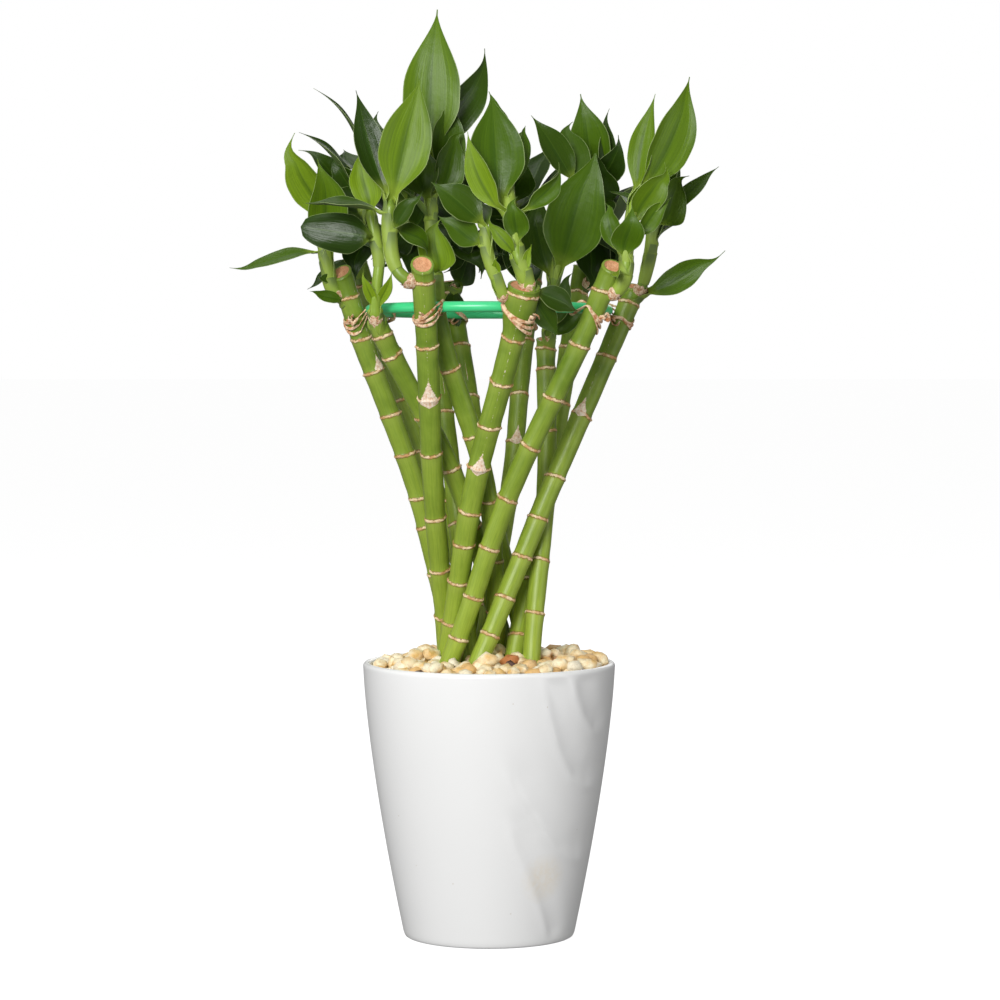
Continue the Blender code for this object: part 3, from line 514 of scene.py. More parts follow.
def cane_axis(spec, height):
    """The middle of a cane at a height, in metres."""
    share = (height - SOIL) / (HOOP_HEIGHT - SOIL)
    bend = math.sin(math.pi * share) ** 2 if 0 < share < 1 else 0
    flat = [(base + (top - base) * share + bow * bend) * MM
            for base, top, bow in zip(spec["base"], spec["top"], spec["bow"])]
    return Vector((*flat, height))


def cane_radius(spec, height):
    """Canes are a little thicker towards the top."""
    share = (height - SOIL) / (HOOP_HEIGHT - SOIL)
    head = spec["head"] * smoothstep(height, HEAD_START, HEAD_END)
    return (spec["radius"] * (.95 + .08 * share) + head) * MM


def cane_frame(spec, height):
    """The cane's middle at a height, and two directions square to its lean."""
    lean = (cane_axis(spec, height + .002) - cane_axis(spec, height - .002)).normalized()
    ahead = lean.cross(Vector((1, 0, 0))).normalized()
    return cane_axis(spec, height), ahead.cross(lean), ahead


print("canes:", len(CANES))

# %% [markdown]
# ## The canes
# A cane of lucky bamboo is a smooth green stem ringed every 15 to 30 mm by a
# node, where a leaf once clasped it. What is left of the leaf is a thin
# papery lip, cream and tan, worn and never quite level. The cane is turned
# straight with many rows near each node, the lip is ruffled by noise, and
# the whole is bent onto its axis. Four attributes travel with the points, so
# that the colours follow the cane when it bends: the straight place, how far
# the nearest node and the nearest scar are, and how close below a node it is.

# %% Cane shape
NODE_PROFILE = ((-5, 0), (-3, .08), (-1.6, .16), (-1, .20), (-.7, .26), (-.5, .38), (-.3, .46),
                (0, .46), (.25, .42), (.45, .26), (.7, .08), (1.2, 0), (2, -.10), (4, -.12),
                (7, 0))
CANE_FOOT = .0998  # deep in the gravel
CANE_STEPS = 28
CUT_SLOPE = .42
NODE_REACH = 8  # mm above and below a node that go up and down with it
PATTERN_STEP = 31  # mm between the patterns of two canes, so that no two are alike


# A leaf scar of size 1, in mm from its middle: a teardrop with its point up.
SCAR_TIP, SCAR_FOOT, SCAR_END = 6.5, -5, -8
SCAR_HALF_WIDTH, SCAR_TAPER = 4.8, 1.5
FAR_AWAY = (500, 500, 0)


def node_swell(offset):
    """How far the skin stands out, at a height in mm from the node."""
    for (low, first), (high, last) in zip(NODE_PROFILE, NODE_PROFILE[1:]):
        if low <= offset <= high:
            return first + (last - first) * (offset - low) / (high - low)
    return 0


def nearest_node(spec, height):
    """The node nearest to a height in mm."""
    return min(spec["nodes"], key=lambda node: abs(node - height))


def cane_profile(spec):
    """Rows close together at the nodes, up to the cut, whose fibres have shrunk back."""
    rows = set(range(100, int(spec["height"]) - 2, 4))
    rows = {row for row in rows if abs(row - nearest_node(spec, row)) > 5.5}
    for node in spec["nodes"]:
        near = {node + offset for offset, _ in NODE_PROFILE}
        rows |= {row for row in near
                 if nearest_node(spec, row) == node and row < spec["height"] - 1}
    profile = [(0, CANE_FOOT)]
    for row in sorted(rows):
        swell = node_swell(row - nearest_node(spec, row))
        profile.append((cane_radius(spec, row * MM) + swell * MM, row * MM))
    top = spec["height"] * MM
    radius = cane_radius(spec, top)
    cut = [(radius, top - .0009), (radius + .0002, top - .0006), (radius, top),
           (radius - .0009, top), (radius - .0012, top - .0005),
           (radius * .45, top - .0009), (0, top - .0007)]
    return profile + cut


def shape_cane(number, spec):
    """The straight cane with ruffled nodes, its attributes noted, bent onto its axis."""
    shape = turned(cane_profile(spec), CANE_STEPS)
    straight = shape.verts.layers.float_vector.new("straight")
    from_node = shape.verts.layers.float.new("from_node")
    below_node = shape.verts.layers.float.new("below_node")
    from_scar = shape.verts.layers.float_vector.new("from_scar")
    top = spec["height"] * MM
    for face in shape.faces:
        inside = cane_radius(spec, top) - .0007
        inner = all(corner.co.xy.length < inside for corner in face.verts)
        face.material_index = int(inner and face.calc_center_median().z > top - .002)
    for vertex in shape.verts:
        x, y, height = vertex.co / MM
        around = math.atan2(y, x)
        node = nearest_node(spec, height)
        gap = height - node
        vertex[straight] = (x + number * PATTERN_STEP, y, height)
        vertex[from_node] = min(abs(gap), 9)
        vertex[below_node] = smoothstep(gap, -7, 0) if gap <= 0 else 0
        vertex[from_scar] = scar_gap(spec, around, height)
        lip = math.exp(-(gap / .6) ** 2)
        ruffle = noise.noise(Vector((x * .8, y * .8, node))) * .75 * lip
        uneven = noise.noise(Vector((x * .35, y * .35, node * 3)))
        rise = .40 * math.cos(around - node) + .55 * uneven
        sunk = .35 * smoothstep(scar_depth(vertex[from_scar]), 0, 1)
        bulge = noise.noise(Vector((x * .12, y * .12, height * .06 + number))) * .16
        radius = math.hypot(x, y)
        grown = 1 + (ruffle + sunk + bulge) / radius if radius > 1 else 1
        cut = spec["height"]
        settle = smoothstep(NODE_REACH - abs(gap), 0, NODE_REACH) if height < cut - 2 else 0
        slant = (y + .3 * x * math.sin(number)) * smoothstep(height, cut - 3.5, cut - .8)
        slant *= 0 if spec["head"] else CUT_SLOPE
        vertex.co = Vector((x * grown, y * grown, height + rise * settle + slant)) * MM
    for vertex in shape.verts:
        middle, side, ahead = cane_frame(spec, vertex.co.z)
        vertex.co = middle + side * vertex.co.x + ahead * vertex.co.y
    return shape


def scar_gap(spec, around, height):
    """Where a point is from the nearest scar: across and up, in mm on a scar of size 1."""
    gaps = [FAR_AWAY]
    for scar_height, facing, size in spec["scars"]:
        turn = (around - math.radians(facing) + math.pi) % math.tau - math.pi
        gaps.append((turn * spec["radius"] / size, (height - scar_height) / size, 0))
    return min(gaps, key=lambda gap: abs(gap[0]) + abs(gap[1]))


def scar_depth(gap):
    """Above 0 inside the scar's pointed outline, below 0 outside it, in mm."""
    share = min(max((gap[1] - SCAR_FOOT) / (SCAR_TIP - SCAR_FOOT), 0), 1)
    inside = SCAR_HALF_WIDTH * (1 - share) ** SCAR_TAPER * smoothstep(gap[1], SCAR_END, SCAR_FOOT)
    return inside - abs(gap[0])


print("the widest scar is", 2 * SCAR_HALF_WIDTH, "mm wide")

# %% [markdown]
# ## The canes' skin and cut ends
# Living bamboo-like stem: a waxy cuticle over green tissue. The wax gives a
# long soft highlight, and the tissue shows fine fibres along the cane. The
# nodes are dry leaf scar, the colour of parchment. The cut ends are dried
# fibre, orange-brown, with a paler rim. The rings could be pieces of their
# own, but colour that follows the distance from a node can also fray.

# %% Cane skin
# On the straight place, which is in mm: fibres 0.6 mm wide and twenty times as
# long, mottling 11 mm wide, fraying 1.2 mm. Canes are paler near the soil.
PALE_ABOVE, PALE_BELOW = 275, 150

cane_skin, tree, shader = new_material("waxy_cane_skin", .40, Specular_IOR_Level=.4)
straight = add_node(tree, "Attribute", attribute_name="straight").outputs["Vector"]
along = add_node(tree, "Mapping", {"Vector": straight, "Scale": (1.1, 1.1, .05)}).outputs[0]
fibres = add_node(tree, "TexNoise", {"Vector": along, "Scale": 1.6, "Detail": 4, "Roughness": .6})
mottle = add_node(tree, "TexNoise", {"Vector": straight, "Scale": .09, "Detail": 3})
green = laid_over(tree, "#6c8724", "#869f36", mottle.outputs["Fac"], .35, .65)
height = add_node(tree, "SeparateXYZ", {0: straight}).outputs[2]
green = laid_over(tree, green, "#aabf42", height, PALE_ABOVE, PALE_BELOW, .7)
green = laid_over(tree, green, "#5b781c", fibres.outputs["Fac"], .42, .62, .3)
gap = add_node(tree, "Attribute", attribute_name="from_node").outputs["Fac"]
below = add_node(tree, "Attribute", attribute_name="below_node").outputs["Fac"]
fray = add_node(tree, "TexNoise", {"Vector": straight, "Scale": .8, "Detail": 4, "Roughness": .65})
frayed = add_node(tree, "MapRange", {"Value": fray.outputs["Fac"], "From Min": .25,
                                     "From Max": .75, "To Min": -.55, "To Max": .55})
distance = add_node(tree, "Math", {0: gap, 1: frayed.outputs[0]}, operation="ADD").outputs[0]
green = laid_over(tree, green, "#b3c25a", below, most=.3)
green = laid_over(tree, green, "#86592c", distance, 1.1, .6, .85)
lip_share = add_node(tree, "MapRange", {"Value": distance, "From Min": .38, "From Max": .62,
                                        "To Min": 1, "To Max": 0})
lip_patch = add_node(tree, "TexNoise", {"Vector": straight, "Scale": .28, "Detail": 3})
dry = laid_over(tree, "#cfa06a", "#f7dfb4", lip_patch.outputs["Fac"], .4, .6)
skin = laid_over(tree, green, dry, lip_share.outputs[0])
print("nodes for green and rings:", len(tree.nodes))

# %% Leaf scars on the cane skin
# The teardrop of scar_depth() again, with a frayed edge. Scars and rings are
# dull and papery, the rest of the skin is waxed.
scar_place = add_node(tree, "Attribute", attribute_name="from_scar").outputs["Vector"]
scar_axes = add_node(tree, "SeparateXYZ", {0: scar_place})
scar_side = add_node(tree, "Math", {0: scar_axes.outputs[0]}, operation="ABSOLUTE").outputs[0]
scar_share = add_node(tree, "MapRange", {"Value": scar_axes.outputs[1], "From Min": SCAR_FOOT,
                                         "From Max": SCAR_TIP, "To Min": 1, "To Max": 0})
scar_neck = add_node(tree, "Math", {0: scar_share.outputs[0], 1: SCAR_TAPER}, operation="POWER")
scar_width = add_node(tree, "Math", {0: scar_neck.outputs[0], 1: 5}, operation="MULTIPLY")
scar_inside = add_node(tree, "Math", {0: scar_width.outputs[0], 1: scar_side},
                       operation="SUBTRACT")
scar_foot = add_node(tree, "Math", {0: scar_side, 1: .45}, operation="MULTIPLY")
scar_round = add_node(tree, "Math", {0: scar_axes.outputs[1], 1: scar_foot.outputs[0]},
                      operation="SUBTRACT")
scar_low = add_node(tree, "Math", {0: scar_round.outputs[0], 1: SCAR_END},
                    operation="GREATER_THAN")
scar_rough = add_node(tree, "Math", {0: scar_inside.outputs[0], 1: frayed.outputs[0]},
                      operation="ADD")
scar_edge = add_node(tree, "MapRange", {"Value": scar_rough.outputs[0], "From Min": 0,
                                        "From Max": .35})
scar_mask = add_node(tree, "Math", {0: scar_edge.outputs[0], 1: scar_low.outputs[0]},
                     operation="MULTIPLY")
scar_colour = laid_over(tree, "#d9a77c", "#fff0dc", fray.outputs["Fac"], .3, .6)
tree.links.new(laid_over(tree, skin, scar_colour, scar_mask.outputs[0]),
               shader.inputs["Base Color"])
dull = add_node(tree, "Math", {0: lip_share.outputs[0], 1: scar_mask.outputs[0]},
                operation="MAXIMUM")
gloss = add_node(tree, "MapRange", {"Value": dull.outputs[0], "To Min": .40, "To Max": .8})
tree.links.new(gloss.outputs[0], shader.inputs["Roughness"])
grain = add_node(tree, "Bump", {"Height": fibres.outputs["Fac"], "Strength": .25,
                                "Distance": .0003})
paper = add_node(tree, "Bump", {"Height": fray.outputs["Fac"], "Strength": dull.outputs[0],
                                "Distance": .0006, "Normal": grain.outputs["Normal"]})
tree.links.new(paper.outputs["Normal"], shader.inputs["Normal"])
print(cane_skin.name, "nodes:", len(tree.nodes))

# %% Cut cane ends
# Dried fibre has no gloss. Its pores are drawn 0.7 mm apart, coarser than real
# ones, so that they show.
cut_fibre, tree, shader = new_material("dried_cut_fibre", .8)
straight = add_node(tree, "Attribute", attribute_name="straight").outputs["Vector"]
pores = add_node(tree, "TexVoronoi", {"Vector": straight, "Scale": 1.5})
dust = add_node(tree, "TexNoise", {"Vector": straight, "Scale": .6, "Detail": 4})
wood = laid_over(tree, "#bb6a35", "#f7c79a", dust.outputs["Fac"])
tree.links.new(laid_over(tree, wood, "#8a4a22", pores.outputs["Distance"], .4, .1, .5),
               shader.inputs["Base Color"])
pits = add_node(tree, "Bump", {"Height": pores.outputs["Distance"], "Strength": .6,
                               "Distance": .0005})
tree.links.new(pits.outputs["Normal"], shader.inputs["Normal"])
print(cut_fibre.name, "nodes:", len(tree.nodes))

# %% Build the canes
for number, spec in enumerate(CANES, 1):
    finish(shape_cane(number, spec), f"cane_{number:02}_grown", [cane_skin, cut_fibre],
           [f"cane_{number:02}"])

# %% Lay the gravel round the canes
# The bed shows only in the gaps between stones; its darker ochre is partly the stones' colour and
# partly painted shade in those gaps.
BED_TINT = .8  # the bed is the colour of its ochre stones
STONE_SIZES = (.0032, .0048)
LAYERS = (  # spacing, height above the bed's level, share of the places that are filled
    (.0072, -.0022, 1), (.0078, .0012, .85), (.0105, .0042, .45))


def clear_of_canes(place, size):
    """True if a stone there would hardly touch a cane."""
    return all((place.xy - cane_axis(spec, place.z).xy).length
               > cane_radius(spec, SOIL) + size * .55 for spec in CANES)


draw = random.Random(11)
bed = gravel_bed()
tint_layer = bed.verts.layers.float.new("tint")
for vertex in bed.verts:
    vertex[tint_layer] = BED_TINT
laid = 0
for spacing, lift, keep in LAYERS:
    for place in stone_places(draw, spacing, lift):
        size = draw.uniform(*STONE_SIZES)
        if draw.random() < keep and clear_of_canes(place, size):
            add_stone(bed, tint_layer, place, size, draw)
            laid += 1
print("stones laid:", laid)
finish(bed, "gravel_heap", [pebbles], ["gravel_bed"])

# %% [markdown]
# ## The hoop
# A moulded hoop of mint green polyethylene, 5 mm thick, that the canes are
# tied round. A ready-made torus would do; the spin from above does too, with
# a circle away from the axis as its profile. The ring is then tipped to lie
# as the plant carries it.

# %% Hoop
HOOP_RADIUS = .0562
HOOP_TUBE = .0025
HOOP_TILT = math.radians(-1.9)
HOOP_STEPS, TUBE_STEPS = 120, 20

# Moulded polyethylene is satin and a little waxy, with slow waves 17 mm long
# where it flowed.
mint_plastic, tree, shader = new_material("moulded_mint_polyethylene", .28)
place = add_node(tree, "TexCoord").outputs["Object"]
flow = add_node(tree, "TexNoise", {"Vector": place, "Scale": 60, "Detail": 2})
tree.links.new(laid_over(tree, "#35d581", "#5ae6a0", flow.outputs["Fac"]),
               shader.inputs["Base Color"])
wave = add_node(tree, "Bump", {"Height": flow.outputs["Fac"], "Strength": .15, "Distance": .0004})
tree.links.new(wave.outputs["Normal"], shader.inputs["Normal"])

turns = [math.tau * step / TUBE_STEPS for step in range(TUBE_STEPS + 1)]
hoop = turned([(HOOP_RADIUS + HOOP_TUBE * math.cos(turn), HOOP_TUBE * math.sin(turn))
               for turn in turns], HOOP_STEPS)
bmesh.ops.transform(hoop, matrix=Matrix.Translation((0, 0, HOOP_HEIGHT))
                    @ Matrix.Rotation(HOOP_TILT, 4, "X"), verts=hoop.verts)
finish(hoop, "hoop_moulded", [mint_plastic], ["hoop"])

# %% [markdown]
# ## Paths to bend things onto
# Ties, stems and bud scales follow curves through a few points. A path is
# walked in small steps, and at each step two directions square to it are
# carried along without twisting, so that whatever is bent onto it stays
# round and doesn't spin. A bevelled curve object would do for a plain wire,
# but not for a stem with collars.

# %% Paths
PATH_STEPS = 6


def smooth_path(points):
    """Dense points on a soft curve through the given ones."""
    points = [Vector(point) for point in points]
    dense = []
    for index in range(len(points) - 1):
        before = points[max(index - 1, 0)]
        start, end = points[index], points[index + 1]
        after = points[min(index + 2, len(points) - 1)]
        for step in range(PATH_STEPS):
            t = step / PATH_STEPS
            dense.append(.5 * (2 * start + (end - before) * t
                               + (2 * before - 5 * start + 4 * end - after) * t * t
                               + (3 * start - before - 3 * end + after) * t ** 3))
    return dense + [points[-1]]


def carried_frames(dense, side=None):
    """For each point: itself, the way ahead, and one direction square to it, carried along."""
    frames = []
    for index, point in enumerate(dense):
        ahead = (dense[min(index + 1, len(dense) - 1)] - dense[max(index - 1, 0)]).normalized()
        side = side or ahead.orthogonal()
        side = (side - ahead * side.dot(ahead)).normalized()
        frames.append((point, ahead, side))
    return frames


def frame_at(frames, share):
    """The path's frame at a share of its length in steps, from 0 to 1."""
    place = min(max(share, 0), .99999) * (len(frames) - 1)
    index = int(place)
    part = place - index
    mixed = [first.lerp(last, part) for first, last in zip(frames[index], frames[index + 1])]
    return mixed[0], mixed[1].normalized(), mixed[2].normalized()


def join_part(shape, part, slot=0):
    """Join a bent part to a shape, in one of its material slots, and give back its faces."""
    holder = bpy.data.meshes.new("part")
    part.to_mesh(holder)
    part.free()
    start = len(shape.faces)
    shape.from_mesh(holder)
    bpy.data.meshes.remove(holder)
    shape.faces.ensure_lookup_table()
    joined = shape.faces[start:]
    for face in joined:
        face.material_index = slot
    return joined


print("steps through three points:", len(smooth_path([(0, 0, 0), (0, 0, 1), (0, 1, 1)])))

# %% [markdown]
# ## The twist ties
# Paper-covered wire, faded to tan, wound three times round a cane and the
# hoop and twisted shut. One long coil would be hard to keep clear of the
# cane, so each tie is three loops side by side that never quite run level,
# with two short twisted ends.

# %% Tie paper
# Matt craft paper, creased every 2.4 mm and faded in patches of that size.
tie_paper, tree, shader = new_material("faded_paper_tie", .75)
place = add_node(tree, "TexCoord").outputs["Object"]
crease = add_node(tree, "TexNoise", {"Vector": place, "Scale": 420, "Detail": 4, "Roughness": .65})
tree.links.new(laid_over(tree, "#b5703c", "#f3d6b2", crease.outputs["Fac"], .38, .58),
               shader.inputs["Base Color"])
fold = add_node(tree, "Bump", {"Height": crease.outputs["Fac"], "Strength": .6, "Distance": .0003})
tree.links.new(fold.outputs["Normal"], shader.inputs["Normal"])
print(tie_paper.name, "nodes:", len(tree.nodes))

# %% Twist ties
TIE_RADIUS = .0008
STRAND_SIDES = 8
TIED_CANES = (1, 2, 4, 6, 7, 8, 9, 11, 12, 13)
LOOPS = ((-.0017, .0004), (-.0002, .0007), (.0013, .0003))  # rise and slack
TILTS = (-.003, .0015, .003)
TIE_DROP, TIE_SAG = .0035, .0015  # how far a loop hangs below the hoop
HOOP_GRIP = .0045  # half the width of the loops on the hoop
ENDS_FACE = (-2.7, -2.2, -.9, -.5)  # radians round the cane


def strand(shape, points, rows, flat):
    """A thin flattened strand along a path, tapered at both ends, joined to the shape."""
    frames = carried_frames(smooth_path(points), Vector((0, 0, 1)))
    profile = [(0, 0)] + [(TIE_RADIUS * min(1, .4 + 6 * min(row, rows - row) / rows), row / rows)
                          for row in range(rows + 1)] + [(0, 1)]
    straight = turned(profile, STRAND_SIDES)
    for vertex in straight.verts:
        point, ahead, side = frame_at(frames, vertex.co.z)
        vertex.co = point + side * vertex.co.x + ahead.cross(side) * vertex.co.y * flat
    join_part(shape, straight)


def tie_loop(spec, rise, slack, tilt):
    """A loop round a cane and the hoop, at a rise above the middle of the tie."""
    middle = cane_axis(spec, HOOP_HEIGHT)
    out = Vector((middle.x, middle.y, 0)).normalized()
    level = HOOP_HEIGHT + out.y * HOOP_RADIUS * math.sin(HOOP_TILT)
    along = Vector((-out.y, out.x, 0))
    lean = (cane_axis(spec, level) - cane_axis(spec, level - .01)).normalized()
    square = (out - lean * out.dot(lean)).normalized()
    side = lean.cross(square)
    grip = cane_radius(spec, level) + slack
    points = []
    for degrees in (100, 60, 20, -20, -60, -100):
        turn = math.radians(degrees)
        drop = rise - TIE_DROP - TIE_SAG * math.cos(turn) + tilt * math.sin(turn)
        points.append(cane_axis(spec, level + drop)
                      + (math.cos(turn) * square + math.sin(turn) * side) * grip)
    tube = out * HOOP_RADIUS + Vector((0, 0, level + rise * .3))
    for degrees in (-110, 180, 110):
        turn = math.radians(degrees)
        round_tube = math.cos(turn) * out + math.sin(turn) * Vector((0, 0, 1))
        points.append(tube + along * HOOP_GRIP * math.sin(turn) + (HOOP_TUBE + slack) * round_tube)
    return points + [points[0]]


def twisted_ends(spec, turn, draw):
    """Two short ends that wind once round each other and then part."""
    level = HOOP_HEIGHT - .004
    facing = Vector((math.cos(turn), math.sin(turn), 0))
    start = cane_axis(spec, level) + facing * (cane_radius(spec, level) + .0006)
    way = Vector((math.cos(turn + 1.3), math.sin(turn + 1.3), draw.uniform(-.5, .5))).normalized()
    side = way.orthogonal().normalized()
    other = way.cross(side)
    ends = []
    for phase in (0, math.pi):
        points = []
        for step in range(7):
            wind = phase + step * draw.uniform(.7, 1.2)
            spread = .0008 + .0018 * smoothstep(step, 3, 6)
            points.append(start + way * .0009 * step
                          + (side * math.cos(wind) + other * math.sin(wind)) * spread)
        ends.append(points)
    return ends


draw = random.Random(3)
for number in TIED_CANES:
    spec = CANES[number - 1]
    tie = bmesh.new()
    tilt = draw.choice(TILTS)
    for rise, slack in LOOPS:
        strand(tie, tie_loop(spec, rise, slack, tilt + rise), rows=90, flat=.5)
    for points in twisted_ends(spec, draw.choice(ENDS_FACE), draw):
        strand(tie, points, rows=24, flat=.45)
    finish(tie, f"tie_{number:02}_wound", [tie_paper], [f"tie_{number:02}"])

# %% [markdown]
# ## The shoots' numbers
# A shoot is a stem that leaves its cane sideways and turns upwards, with a
# leaf at every node. Leaves could be strewn by a rule, but a crown this open
# is known by where each leaf points, so each has numbers of its own. Most are
# the CAD leaves, a tenth wider here. The small ones at a shoot's foot and
# some dark ones that fill the middle of the crown are made here alone. The
# dark tones of the leaves at the back are painted shade as well as age.

# %% Shoots
FULLNESS = 1.1


def leaf(root, tip, width, look, tone, arch=3, sway=0, twist=0, cup=.65, point=.85, wavy=1):
    """One leaf in mm.

    Its midrib goes from root to tip. width is the greatest width, look the way that the upper
    face looks, and tone how dark it is, from 0 for a young leaf to 1 for an old one; a tone of
    .9 and more at the back of the crown is painted shade as well as age. arch bows the midrib
    to the upper face, sway bends it sideways, and twist turns the tip, in degrees.
    cup is the angle in radians by which each margin stands up from the midrib, a larger point
    draws the tip out longer, and wavy says how much the blade swings and curls.
    """
    return dict(root=Vector(root) * MM, tip=Vector(tip) * MM, width=width * FULLNESS * MM,
                look=Vector(look), tone=tone, arch=arch * MM, sway=sway * MM, twist=twist,
                cup=cup, point=point, wavy=wavy)
